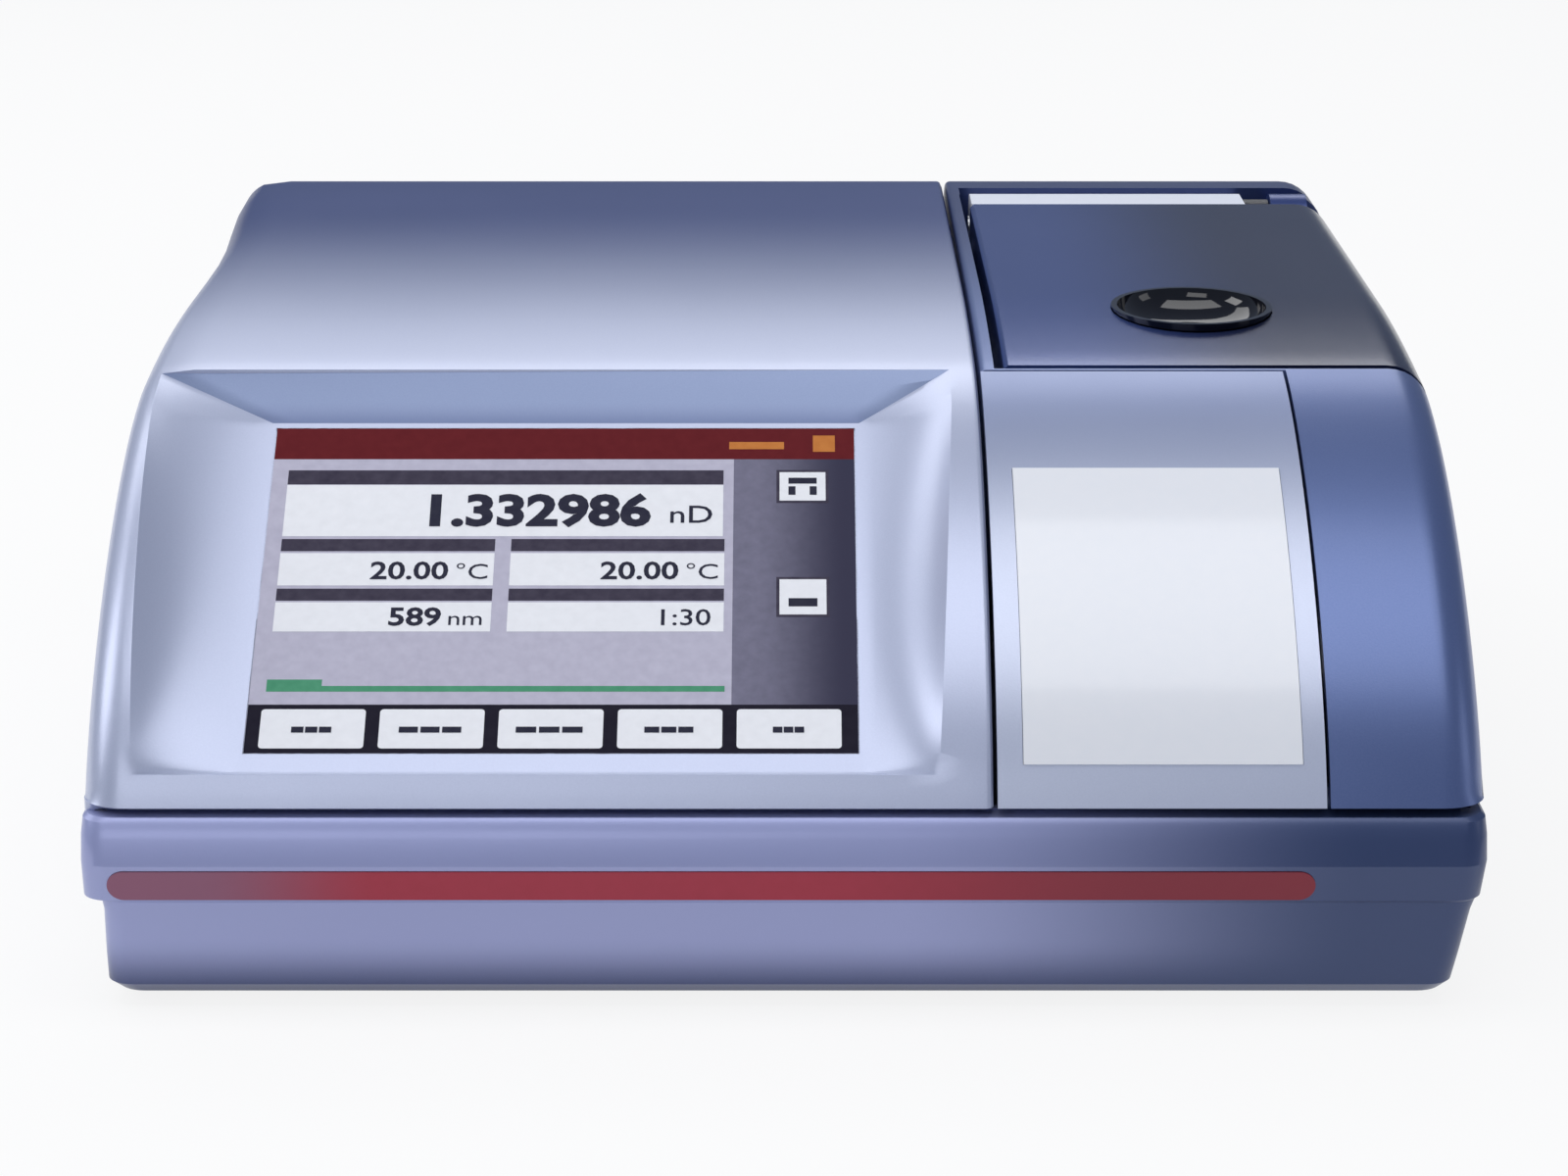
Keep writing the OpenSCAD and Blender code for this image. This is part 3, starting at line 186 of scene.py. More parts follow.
@dataclass(frozen=True)
class Finish:
    """One finish: colours, gloss and grain of a material slot, with optional painted shade and light."""

    name: str
    color: Rgb
    tint: Rgb
    grain: Grain = Grain.MOULDED
    metallic: float = 0.0
    rough: tuple[float, float] = (0.4, 0.5)
    coat: float = 0.0
    coat_rough: float = 0.1
    bump: float = 0.1
    # The fields below paint light and shade into the colour: it turns darker or lighter along an axis of the
    # object.
    painted_shading: Rgb | None = None
    painted_shading_axis: str = "Y"
    painted_shading_span: tuple[float, float] = (0.0, 1.0)
    side: Rgb | None = None
    side_shade_span: tuple[float, float] = (0.0, 1.0)
    transmission: float = 0.0
    ior: float = 1.5
    glow: float = 0.0

    def build(self, groups: Groups) -> bpy.types.Material:
        """Builds the material.

        Args:
            groups: The shared shader groups.

        Returns:
            The finished node material.
        """
        mat = bpy.data.materials.new(self.name)
        mat.use_nodes = True
        nodes, link = mat.node_tree.nodes, mat.node_tree.links.new
        shader = nodes["Principled BSDF"]
        where = nodes.new("ShaderNodeTexCoord")
        mapping = nodes.new("ShaderNodeMapping")
        mapping.inputs["Scale"].default_value = tuple(s / NOISE_SCALE for s in GRAIN_SCALE[self.grain])
        link(where.outputs["Object"], mapping.inputs["Vector"])
        grain = self._group(mat, groups.grain, {"Scale": NOISE_SCALE, "Bump": self.bump})
        link(mapping.outputs["Vector"], grain.inputs["Vector"])
        wiped = self._group(mat, groups.handling, {"Low": self.rough[0], "High": self.rough[1]})
        link(where.outputs["Object"], wiped.inputs["Vector"])
        mix = nodes.new("ShaderNodeMix")
        mix.data_type = "RGBA"
        mix.inputs["A"].default_value = (*self.color, 1.0)
        mix.inputs["B"].default_value = (*self.tint, 1.0)
        link(grain.outputs["Mask"], mix.inputs["Factor"])
        color = mix.outputs["Result"]
        # Painted shade and light: the colour turns into another one along the object's axes.
        if self.painted_shading is not None:
            color = self._paint_shading(mat, groups, where, color, self.painted_shading, self.painted_shading_axis, self.painted_shading_span)
        if self.side is not None:
            color = self._paint_shading(mat, groups, where, color, self.side, "X", self.side_shade_span)
        link(color, shader.inputs["Base Color"])
        link(wiped.outputs["Value"], shader.inputs["Roughness"])
        link(grain.outputs["Normal"], shader.inputs["Normal"])
        shader.inputs["Metallic"].default_value = self.metallic
        shader.inputs["Coat Weight"].default_value = self.coat
        shader.inputs["Coat Roughness"].default_value = self.coat_rough
        shader.inputs["Transmission Weight"].default_value = self.transmission
        shader.inputs["IOR"].default_value = self.ior
        if self.glow > 0:
            link(color, shader.inputs["Emission Color"])
            shader.inputs["Emission Strength"].default_value = self.glow
        return mat

    @staticmethod
    def _group(mat: bpy.types.Material, tree: bpy.types.NodeTree, values: dict[str, float]) -> bpy.types.Node:
        """Places a group in a material with its own values."""
        node = mat.node_tree.nodes.new("ShaderNodeGroup")
        node.node_tree = tree
        for label, value in values.items():
            node.inputs[label].default_value = value
        return node

    def _paint_shading(
        self,
        mat: bpy.types.Material,
        groups: Groups,
        where: bpy.types.Node,
        color: bpy.types.NodeSocket,
        end: Rgb,
        axis: str,
        span: tuple[float, float],
    ) -> bpy.types.NodeSocket:
        """Paints light or shade into the colour: it turns into another one along an axis of the object.

        Args:
            mat: The material.
            groups: The shared shader groups.
            where: The texture coordinate node.
            color: The colour at the span's start.
            end: The painted shade or light colour at the span's end.
            axis: X, Y or Z.
            span: Start and end along the axis, in metres.

        Returns:
            The mixed colour's socket.
        """
        nodes, link = mat.node_tree.nodes, mat.node_tree.links.new
        split = nodes.new("ShaderNodeSeparateXYZ")
        link(where.outputs["Object"], split.inputs["Vector"])
        shade = self._group(mat, groups.shade, {"From": span[0], "To": span[1]})
        link(split.outputs[axis], shade.inputs["Value"])
        mix = nodes.new("ShaderNodeMix")
        mix.data_type = "RGBA"
        link(shade.outputs["Mask"], mix.inputs["Factor"])
        link(color, mix.inputs["A"])
        mix.inputs["B"].default_value = (*end, 1.0)
        return mix.outputs["Result"]


FINISHES: dict[str, Finish] = {
    # Darker towards the rear: painted shade.
    "housing_silver": Finish(
        "silver_blue_paint", color=(0.50, 0.54, 0.70), tint=(0.56, 0.60, 0.76), grain=Grain.FLAKE,
        metallic=0.35, rough=(0.3, 0.38), coat=0.12, coat_rough=0.15, bump=0.05,
        painted_shading=(0.03, 0.055, 0.20), painted_shading_axis="Y", painted_shading_span=(-0.06, 0.12),
    ),
    # Darker towards the rear: painted shade.
    "housing_blue": Finish(
        "deep_blue_paint", color=(0.11, 0.16, 0.35), tint=(0.14, 0.19, 0.39), grain=Grain.FLAKE,
        metallic=0.5, rough=(0.3, 0.38), coat=0.12, coat_rough=0.15, bump=0.05,
        painted_shading=(0.03, 0.05, 0.16), painted_shading_axis="Y", painted_shading_span=(-0.03, 0.12),
    ),
    # Dark at the bottom, lighter above, and darker towards the right end: painted shade and light.
    "base_blue": Finish(
        "base_blue_paint", color=(0.02, 0.035, 0.12), tint=(0.03, 0.05, 0.15), grain=Grain.FLAKE,
        metallic=0.3, rough=(0.32, 0.42), coat=0.12, coat_rough=0.15, bump=0.05,
        painted_shading=(0.37, 0.40, 0.66), painted_shading_axis="Z", painted_shading_span=(0.002, 0.017), side=(0.045, 0.07, 0.17),
        side_shade_span=(0.02, 0.125),
    ),
    # Darker towards the right end: painted shade.
    "lid_navy": Finish(
        "navy_gloss_paint", color=(0.04, 0.075, 0.25), tint=(0.055, 0.09, 0.28), grain=Grain.FLAKE,
        metallic=0.35, rough=(0.18, 0.26), coat=0.12, coat_rough=0.08, bump=0.03,
        side=(0.010, 0.016, 0.055), side_shade_span=(0.065, 0.12), ior=1.4,
    ),
    # A darker copy of the housing paint for the recess's upper wall, darker still near the screen: painted
    # shade.
    "recess_wall_shade": Finish(
        "recess_wall_painted_shade", color=(0.24, 0.30, 0.48), tint=(0.28, 0.34, 0.52), grain=Grain.FLAKE,
        metallic=0.3, rough=(0.3, 0.38), bump=0.05, painted_shading=(0.07, 0.10, 0.24), painted_shading_axis="Z",
        painted_shading_span=(0.112, 0.1045),
    ),
    # Darker towards the rear: painted shade.
    "tongue_silver": Finish(
        "tongue_paint", color=(0.54, 0.58, 0.72), tint=(0.60, 0.64, 0.78), grain=Grain.FLAKE,
        metallic=0.35, rough=(0.3, 0.38), coat=0.12, coat_rough=0.15, bump=0.05,
        painted_shading=(0.22, 0.27, 0.46), painted_shading_axis="Y", painted_shading_span=(-0.125, -0.065),
    ),
    "white_plate": Finish(
        "white_lacquer", color=(0.93, 0.94, 0.97), tint=(0.96, 0.96, 0.98), grain=Grain.POLISHED,
        rough=(0.22, 0.3), coat=0.5, coat_rough=0.08, bump=0.03,
    ),
    # Lighter and pinker at the left end: painted highlight; darker towards the right end: painted shade.
    "red_trim": Finish(
        "red_trim", color=(0.42, 0.018, 0.045), tint=(0.46, 0.022, 0.055), grain=Grain.POLISHED,
        rough=(0.35, 0.45), bump=0.03, painted_shading=(0.30, 0.10, 0.17), painted_shading_axis="X",
        painted_shading_span=(-0.085, -0.125), side=(0.26, 0.010, 0.03), side_shade_span=(0.0, 0.08),
    ),
    "screen_glass": Finish(
        "screen_glass", color=(0.30, 0.28, 0.40), tint=(0.32, 0.30, 0.42), grain=Grain.POLISHED,
        rough=(0.06, 0.1), coat=0.6, coat_rough=0.03, bump=0.01,
    ),
    "lcd": Finish(
        "lcd_back", color=(0.22, 0.23, 0.26), tint=(0.26, 0.27, 0.3), grain=Grain.BRUSHED,
        metallic=0.7, rough=(0.3, 0.4), bump=0.06,
    ),
    "black_plastic": Finish(
        "black_plastic", color=(0.022, 0.022, 0.025), tint=(0.034, 0.034, 0.038), bump=0.3,
    ),
    "black_gloss": Finish(
        "black_gloss", color=(0.003, 0.003, 0.006), tint=(0.006, 0.006, 0.010),
        grain=Grain.POLISHED, rough=(0.05, 0.09), bump=0.01, ior=1.6,
    ),
    "rubber": Finish(
        "rubber", color=(0.018, 0.018, 0.018), tint=(0.03, 0.03, 0.03), rough=(0.75, 0.9), bump=0.4,
    ),
    "steel": Finish(
        "steel", color=(0.60, 0.61, 0.63), tint=(0.70, 0.71, 0.73), grain=Grain.BRUSHED,
        metallic=1.0, rough=(0.22, 0.32), bump=0.08,
    ),
    "chrome": Finish(
        "plated_steel", color=(0.62, 0.63, 0.65), tint=(0.7, 0.71, 0.73), grain=Grain.POLISHED,
        metallic=1.0, rough=(0.14, 0.24), bump=0.02,
    ),
    "aluminium": Finish(
        "aluminium", color=(0.66, 0.68, 0.72), tint=(0.74, 0.76, 0.80), grain=Grain.BRUSHED,
        metallic=1.0, rough=(0.3, 0.42), bump=0.08,
    ),
    "brass": Finish(
        "brass", color=(0.60, 0.44, 0.18), tint=(0.70, 0.53, 0.25), grain=Grain.BRUSHED,
        metallic=1.0, rough=(0.25, 0.35), bump=0.06,
    ),
    "board_green": Finish(
        "board_green", color=(0.02, 0.12, 0.05), tint=(0.05, 0.24, 0.10), grain=Grain.TRACES,
        rough=(0.3, 0.4), coat=0.3, coat_rough=0.2,
    ),
    "ceramic": Finish(
        "ceramic", color=(0.78, 0.77, 0.72), tint=(0.84, 0.83, 0.79), bump=0.1,
    ),
    "sapphire": Finish(
        "sapphire", color=(0.90, 0.96, 1.0), tint=(0.94, 0.98, 1.0), grain=Grain.POLISHED,
        rough=(0.02, 0.05), bump=0.005, transmission=0.9, ior=1.77,
    ),
    "rocker_red": Finish(
        "rocker_red", color=(0.42, 0.03, 0.03), tint=(0.5, 0.04, 0.04), rough=(0.25, 0.35),
        bump=0.08,
    ),
    # Near white, so that the silver barrel shows as a bright bar: partly painted highlight.
    "barrel_silver_highlight": Finish(
        "barrel_silver_highlight", color=(0.84, 0.87, 0.96), tint=(0.90, 0.92, 0.98), grain=Grain.BRUSHED,
        metallic=0.1, rough=(0.35, 0.45), coat=0.1, bump=0.04,
    ),
}

SCREEN_FINISHES: dict[str, Finish] = {
    name: Finish(
        "screen_" + name, color=low, tint=high, grain=Grain.TRACES,
        rough=(0.4, 0.45), bump=0.0, ior=1.1, glow=0.12,
    )
    for name, (low, high) in {
        "ground": ((0.44, 0.42, 0.52), (0.56, 0.54, 0.64)),
        "column": ((0.15, 0.145, 0.20), (0.22, 0.21, 0.29)),
        "white": ((0.80, 0.80, 0.82), (0.90, 0.90, 0.92)),
        "header": ((0.035, 0.03, 0.05), (0.08, 0.07, 0.10)),
        "maroon": ((0.11, 0.012, 0.016), (0.15, 0.018, 0.022)),
        "green": ((0.06, 0.26, 0.14), (0.10, 0.34, 0.20)),
        "black": ((0.012, 0.010, 0.02), (0.02, 0.018, 0.03)),
        "ink": ((0.02, 0.02, 0.04), (0.04, 0.04, 0.06)),
        "amber": ((0.50, 0.16, 0.04), (0.62, 0.24, 0.06)),
    }.items()
}

# Darker towards the right edge, next to the recess's flank: painted shade.
SCREEN_FINISHES["column"] = replace(
    SCREEN_FINISHES["column"], side=(0.045, 0.043, 0.075), side_shade_span=(-0.008, 0.014)
)


class Paintbox:
    """Builds each material once and hands it out by name."""

    def __init__(self) -> None:
        """Starts with the shared groups and no materials."""
        self.groups = Groups()
        self.made: dict[str, bpy.types.Material] = {}

    def get(self, name: str) -> bpy.types.Material:
        """The material of a finish, built when it is first asked for."""
        if name not in self.made:
            finish = FINISHES.get(name) or SCREEN_FINISHES[name]
            self.made[name] = finish.build(self.groups)
        return self.made[name]


# Mesh helpers. Points nearer than these distances, in metres, are one, and faces that turn less
# than FLAT_DEG are one flat face.


NODE_MERGE = 2e-6
SHEET_MERGE = 1e-6
TEXT_MERGE = 1e-7
FLAT_DEG = 0.4
SAME_PLACE = 1e-4


def piece(
    name: str, mesh: bpy.types.Mesh, mat: bpy.types.Material, body: str
) -> bpy.types.Object:
    """Links a mesh as a finished piece.

    Args:
        name: The piece's name.
        mesh: Its mesh, in place and in metres.
        mat: Its material.
        body: The body it rides on.

    Returns:
        The linked object.
    """
    obj = bpy.data.objects.new(name, mesh)
    bpy.context.scene.collection.objects.link(obj)
    mesh.materials.clear()
    mesh.materials.append(mat)
    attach(obj, body)
    LOG.info("piece %s: %d faces on %s", name, len(mesh.polygons), body)
    return obj


def mesh_from(name: str, points: list[Point], faces: Faces) -> bpy.types.Mesh:
    """A mesh from points and faces, with its doubles merged and its normals outward.

    Args:
        name: The mesh's name.
        points: Its points, in metres.
        faces: Its faces, as point numbers.

    Returns:
        The new mesh.
    """
    mesh = bpy.data.meshes.new(name)
    mesh.from_pydata(points, [], faces)
    work = bmesh.new()
    work.from_mesh(mesh)
    bmesh.ops.remove_doubles(work, verts=work.verts, dist=SHEET_MERGE)
    bmesh.ops.recalc_face_normals(work, faces=work.faces)
    work.to_mesh(mesh)
    work.free()
    return mesh


def smooth_copy(node: bpy.types.Object, name: str, angle: float) -> bpy.types.Mesh:
    """A merged copy of a frame node's mesh, shaded smooth below an angle.

    Args:
        node: The node's object.
        name: The new mesh's name.
        angle: Faces that meet at less than this many degrees blend.

    Returns:
        The new mesh.
    """
    work = bmesh.new()
    work.from_mesh(node.data)
    bmesh.ops.remove_doubles(work, verts=work.verts, dist=NODE_MERGE)
    bmesh.ops.dissolve_limit(work, angle_limit=math.radians(FLAT_DEG), verts=work.verts, edges=work.edges)
    limit = math.radians(angle)
    for edge in work.edges:
        edge.smooth = len(edge.link_faces) == 2 and edge.calc_face_angle(0.0) < limit
    for face in work.faces:
        face.smooth = True
    fresh = bpy.data.meshes.new(name)
    work.to_mesh(fresh)
    work.free()
    return fresh


def applied(obj: bpy.types.Object) -> bpy.types.Mesh:
    """The evaluated mesh of an object, as a plain mesh."""
    graph = bpy.context.evaluated_depsgraph_get()
    return bpy.data.meshes.new_from_object(obj.evaluated_get(graph))


# The housing.


class Zone(Enum):
    """Which stretch of the side profile a row belongs to."""

    SLOPE = "slope"
    TOP = "top"
    REAR = "rear"
    OPENING = "opening"


@dataclass(frozen=True)
class Row:
    """One row of the cover's skin: its place, the inward normal there, and its place on the slope."""

    f: float
    z: float
    nf: float
    nz: float
    t: float
    zone: Zone


def clamp(value: float, low: float, high: float) -> float:
    """A value kept between two limits."""
    return min(max(value, low), high)


def cubic(ends: tuple[float, float, float, float], t: float) -> float:
    """A cubic curve through four control values."""
    a, b, c, d = ends
    return (1 - t) ** 3 * a + 3 * t * (1 - t) ** 2 * b + 3 * t * t * (1 - t) * c + t**3 * d


def grid_faces(first: int, rows: int, columns: int) -> Faces:
    """The quads of a grid of points.

    Args:
        first: Number of the grid's first point.
        rows: How many rows of quads.
        columns: How many quads in a row.

    Returns:
        The quads, row by row.
    """
    faces: Faces = []
    for r in range(rows):
        for c in range(columns):
            n = first + r * (columns + 1) + c
            faces.append((n, n + 1, n + columns + 2, n + columns + 1))
    return faces


@dataclass
class SideProfile:
    """The housing's side view: nose, slope, shoulder, top and rounded rear edge, in millimetres."""

    height: float = 122.0
    low: float = 45.5
    rear_r: float = 12.0
    slope_f: tuple[float, float, float, float] = (4.6, 17.0, 72.0, 115.0)
    shoulder_f: tuple[float, float, float, float] = (115.0, 138.0, 162.0, 188.0)
    nose_rise: float = 30.5
    knee_drop: float = 8.0
    crease_drop: float = 3.6
    ease_drop: float = 1.4
    top_f: tuple[float, ...] = (210.0, 235.0, 260.0, 285.0, 310.0)
    opening_z: float = 92.0
    slope_steps: int = 44
    shoulder_steps: int = 12
    corner_steps: int = 8
    merge_share: float = 0.3

    def slope(self, t: float) -> Flat:
        """A point of the slope, with t from 0 at the nose to 1 at the crease."""
        knee, crease = self.height - self.knee_drop, self.height - self.crease_drop
        return (cubic(self.slope_f, t), cubic((self.low, self.low + self.nose_rise, knee, crease), t))

    def shoulder(self, t: float) -> Flat:
        """A point of the flat curve between the crease and the top."""
        rise = (self.height - self.crease_drop, self.height - self.ease_drop, self.height, self.height)
        return (cubic(self.shoulder_f, t), cubic(rise, t))

    def slope_stops(self, stops: list[float]) -> list[float]:
        """Even steps along the slope, with those too near a stop left out.

        Args:
            stops: Places along the slope that get a row of their own.

        Returns:
            The places in order.
        """
        near = self.merge_share / self.slope_steps
        places = sorted({i / self.slope_steps for i in range(self.slope_steps + 1)} | set(stops))
        return [t for t in places if t in stops or all(abs(t - stop) > near for stop in stops)]

    def rows(self, stops: list[float], wall_shares: tuple[float, ...]) -> list[Row]:
        """The rows of a skin over the profile.

        Args:
            stops: Places along the slope that get a row of their own.
            wall_shares: Steps of the side walls, from the top at 0 to the lower edge at 1.

        Returns:
            The rows from the nose to the rear face's lower end.
        """
        flat = [(*self.slope(t), t, Zone.SLOPE) for t in self.slope_stops(stops)]
        for k in range(1, self.shoulder_steps + 1):
            flat.append((*self.shoulder(k / self.shoulder_steps), 1.0, Zone.TOP))
        flat += [(f, self.height, 1.0, Zone.TOP) for f in self.top_f]
        mid_f, mid_z = BODY_D - self.rear_r, self.height - self.rear_r
        for k in range(self.corner_steps + 1):
            a = math.radians(90 * k / self.corner_steps)
            flat.append(
                (mid_f + self.rear_r * math.sin(a), mid_z + self.rear_r * math.cos(a), 1.0, Zone.TOP)
            )
        for share in wall_shares[1:]:
            z = mid_z + (self.low - mid_z) * share
            flat.append((BODY_D, z, 1.0, Zone.OPENING if z < self.opening_z + 0.5 else Zone.REAR))
        rows = []
        for i, (f, z, t, zone) in enumerate(flat):
            before, after = flat[max(i - 1, 0)], flat[min(i + 1, len(flat) - 1)]
            df, dz = after[0] - before[0], after[1] - before[1]
            size = math.hypot(df, dz)
            rows.append(Row(f, z, dz / size, -df / size, t, zone))
        return rows


@dataclass
class DisplayCover:
    """The display module's moulded cover, with the tapered recess round the screen."""

    left: float = -150.0
    right: float = 44.55
    side_r: float = 10.0
    gap_r: float = 1.5
    flare: float = 3.0
    waist: float = 0.4
    waist_f: tuple[float, float, float] = (130.0, 235.0, 330.0)
    swell_w: float = 183.0
    glass_half: float = 66.25
    frame_w: float = 1.0
    inner_frame_w: float = 0.35
    screen: Point = (-50.0, 16.0, 54.0)
    tilt: float = 34.0
    flanks: Flat = (27.0, 21.0)
    narrow: float = 5.0
    flank_drop: float = 0.72
    flank_pull: float = 0.34
    t_low: float = 0.07
    t_foot: float = 0.1
    t_head: float = 0.83
    t_rim: float = 0.955
    opening_left: float = -128.0
    opening_from: float = 200.0
    rear_wall: float = 7.0
    thick: float = 2.4
    soft_edge: float = 1.5
    soft_steps: int = 3
    soft_deg: float = 28.0
    sharp_deg: float = 40.0
    side_steps: int = 12
    gap_steps: int = 4
    recess_steps: int = 24
    flank_steps: int = 8
    rim_margin: float = 0.4
    wall_shares: tuple[float, ...] = (0.0, 0.14, 0.279, 0.4, 0.52, 0.64, 0.76, 0.88, 1.0)

    def __post_init__(self) -> None:
        """Works out the direction up the screen and starts with no wall."""
        a = math.radians(self.tilt)
        self.up = (math.cos(a), math.sin(a))
        self.profile = SideProfile()
        self.points: list[Point] = []
        self.faces: Faces = []
        self.wall_middles: list[Vector] = []

    def on_plane(self, q: Flat) -> Flat:
        """The foot of a point on the screen's plane."""
        f0, z0 = self.screen[1], self.screen[2]
        along = (q[0] - f0) * self.up[0] + (q[1] - z0) * self.up[1]
        return (f0 + along * self.up[0], z0 + along * self.up[1])

    def rims(self, t: float) -> Flat:
        """X of the recess's left and right rim at a place along the slope."""
        k = clamp((t - self.t_foot) / (self.t_head - self.t_foot), 0.0, 1.0)
        inset = self.narrow * (1 - k)
        x, half = self.screen[0], self.glass_half + self.frame_w
        return (x - half - self.flanks[0] + inset, x + half + self.flanks[1] - inset)

    def swell(self, f: float) -> float:
        """How far the left wall swells at a distance behind the nose."""
        start, middle, end = self.waist_f
        if f > middle:
            share = min((f - middle) / (end - middle), 1)
            wave = math.sin(math.radians(90 * share)) ** 2
            return self.flare * ((1 + self.waist) * wave - self.waist)
        if f > start:
            wave = math.sin(math.radians(90 * (f - start) / (middle - start))) ** 2
            return -self.flare * self.waist * wave
        return 0.0

    def skin_point(self, row: Row, x: float) -> Point:
        """A point of the outer skin, with the rounded side edges.

        Args:
            row: The row it lies in.
            x: Its place across, before the wall's swell.

        Returns:
            The point, in metres.
        """
        inset = 0.0
        if x < self.left + self.side_r:
            inset = self._round_off(1 - (x - self.left) / self.side_r, self.side_r)
        elif x > self.right - self.gap_r:
            inset = self._round_off(1 - (self.right - x) / self.gap_r, self.gap_r)
        f, z = row.f + row.nf * inset, row.z + row.nz * inset
        share = clamp((self.right - self.gap_r - x) / self.swell_w, 0.0, 1.0)
        return place(x - share * self.swell(row.f), f, max(z, self.profile.low))

    @staticmethod
    def _round_off(share: float, radius: float) -> float:
        """How far a round edge falls back at a share of its radius."""
        return radius * (1 - math.sqrt(max(1 - share * share, 0.0)))

    def columns(self, row: Row) -> list[float]:
        """X of each column of the skin in one row.

        Args:
            row: The row.

        Returns:
            The places from the left wall to the gap.
        """
        rim_l, rim_r = self.rims(clamp(row.t, self.t_low, self.t_rim))
        shrink = min((rim_l - self.left - self.rim_margin) / self.side_r, 1.0)
        xs = []
        for k in range(self.side_steps):
            across = self.side_r * (1 - math.cos(math.radians(90 * k / self.side_steps)))
            xs.append(self.left + across * shrink)
        for k in range(self.recess_steps + 1):
            xs.append(rim_l + (rim_r - rim_l) * k / self.recess_steps)
        if row.f > self.opening_from:
            xs[self.side_steps + 2] = self.opening_left
        xs.append((rim_r + self.right - self.gap_r) / 2)
        for k in range(self.gap_steps + 1):
            xs.append(self.right - self.gap_r * math.cos(math.radians(90 * k / self.gap_steps)))
        return xs

    def flank(self, row: Row, side: int, v: float) -> Point:
        """A point of a flank, on a curve from the rim to the screen's plane.

        Args:
            row: The row it starts from.
            side: 0 for the left flank, 1 for the right one.
            v: 0 at the rim, 1 at the plane.

        Returns:
            The point, in metres.
        """
        start = self.skin_point(row, self.rims(row.t)[side])
        x0, f0, z0 = start[0] / MM, start[1] / MM + BODY_D / 2, start[2] / MM
        foot_x = self.screen[0] + (self.glass_half + self.frame_w) * (1 if side else -1)
        foot_f, foot_z = self.on_plane(self.profile.slope(clamp(row.t, self.t_foot, self.t_head)))
        drop = self.on_plane((f0, z0))
        mid_x = x0 + (foot_x - x0) * self.flank_pull
        mid_f = f0 + (drop[0] - f0) * self.flank_drop + (foot_f - drop[0]) * self.flank_pull
        mid_z = z0 + (drop[1] - z0) * self.flank_drop + (foot_z - drop[1]) * self.flank_pull
        a, b, c = (1 - v) ** 2, 2 * v * (1 - v), v * v
        return place(
            a * x0 + b * mid_x + c * foot_x, a * f0 + b * mid_f + c * foot_f, a * z0 + b * mid_z + c * foot_z
        )

    def mesh(self) -> bpy.types.Mesh:
        """Builds the cover as one sheet of quads.

        Returns:
            The sheet, without its thickness.
        """
        rows = self.profile.rows([self.t_low, self.t_foot, self.t_head, self.t_rim], self.wall_shares)
        count = len(self.columns(rows[0]))
        for row in rows:
            self.points += [self.skin_point(row, x) for x in self.columns(row)]
        recess_columns = range(self.side_steps, self.side_steps + self.recess_steps)
        for face in grid_faces(0, len(rows) - 1, count - 1):
            r, c = divmod(face[0], count)
            row = rows[r]
            in_recess = (
                row.zone is Zone.SLOPE and self.t_low <= row.t < self.t_rim and c in recess_columns
            )
            in_opening = row.zone is Zone.OPENING and c >= self.side_steps + 2
            if not in_recess and not in_opening:
                self.faces.append(face)
        self._walls([row for row in rows if row.zone in (Zone.SLOPE, Zone.TOP)])
        recess_rows = [r for r in rows if r.zone is Zone.SLOPE and self.t_low <= r.t <= self.t_rim]
        self._flanks(recess_rows)
        self._end_walls(recess_rows)
        self._floor([row for row in recess_rows if self.t_foot <= row.t <= self.t_head])
        return mesh_from("display_cover_skin", self.points, self.faces)

    def _walls(self, rows: list[Row]) -> None:
        """Adds the two side walls, down to the cover's lower edge or the rear opening."""
        for x in (self.left, self.right):
            n = len(self.points)
            for row in rows:
                top = self.skin_point(row, x)
                at_opening = x == self.right and row.f > BODY_D - self.rear_wall
                low = (self.profile.opening_z if at_opening else self.profile.low) * MM
                self.points += [
                    (top[0], top[1], top[2] + (low - top[2]) * share) for share in self.wall_shares
                ]
            self.faces += grid_faces(n, len(rows) - 1, len(self.wall_shares) - 1)

    def _flanks(self, rows: list[Row]) -> None:
        """Adds the recess's left and right flank."""
        for side in (0, 1):
            n = len(self.points)
            for row in rows:
                for k in range(self.flank_steps + 1):
                    self.points.append(self.flank(row, side, k / self.flank_steps))
            self.faces += grid_faces(n, len(rows) - 1, self.flank_steps)

    def _end_walls(self, rows: list[Row]) -> None:
        """Adds the walls below and above the screen, and notes the middles of the upper one's quads."""
        for row in (rows[0], rows[-1]):
            n = len(self.points)
            for k in range(self.flank_steps + 1):
                a = Vector(self.flank(row, 0, k / self.flank_steps))
                b = Vector(self.flank(row, 1, k / self.flank_steps))
                self.points += [tuple(a.lerp(b, c / self.recess_steps)) for c in range(self.recess_steps + 1)]
            quads = grid_faces(n, self.flank_steps, self.recess_steps)
            self.faces += quads
            self.wall_middles = [sum((Vector(self.points[i]) for i in q), Vector()) / 4 for q in quads]

    def _floor(self, rows: list[Row]) -> None:
        """Adds the flat frame in the screen's plane."""
        outer, inner = self.glass_half + self.frame_w, self.glass_half + self.inner_frame_w
        n = len(self.points)
        for row in rows:
            f, z = self.on_plane((row.f, row.z))
            self.points += [place(self.screen[0] + x, f, z) for x in (-outer, -inner, inner, outer)]
        self.faces += grid_faces(n, len(rows) - 1, 3)

    def build(self, paints: Paintbox) -> None:
        """Builds the cover with its thickness and its softened rims.

        Args:
            paints: The materials.
        """
        paint = paints.get("housing_silver")
        obj = piece("display_cover_skin", self.mesh(), paint, "housing")
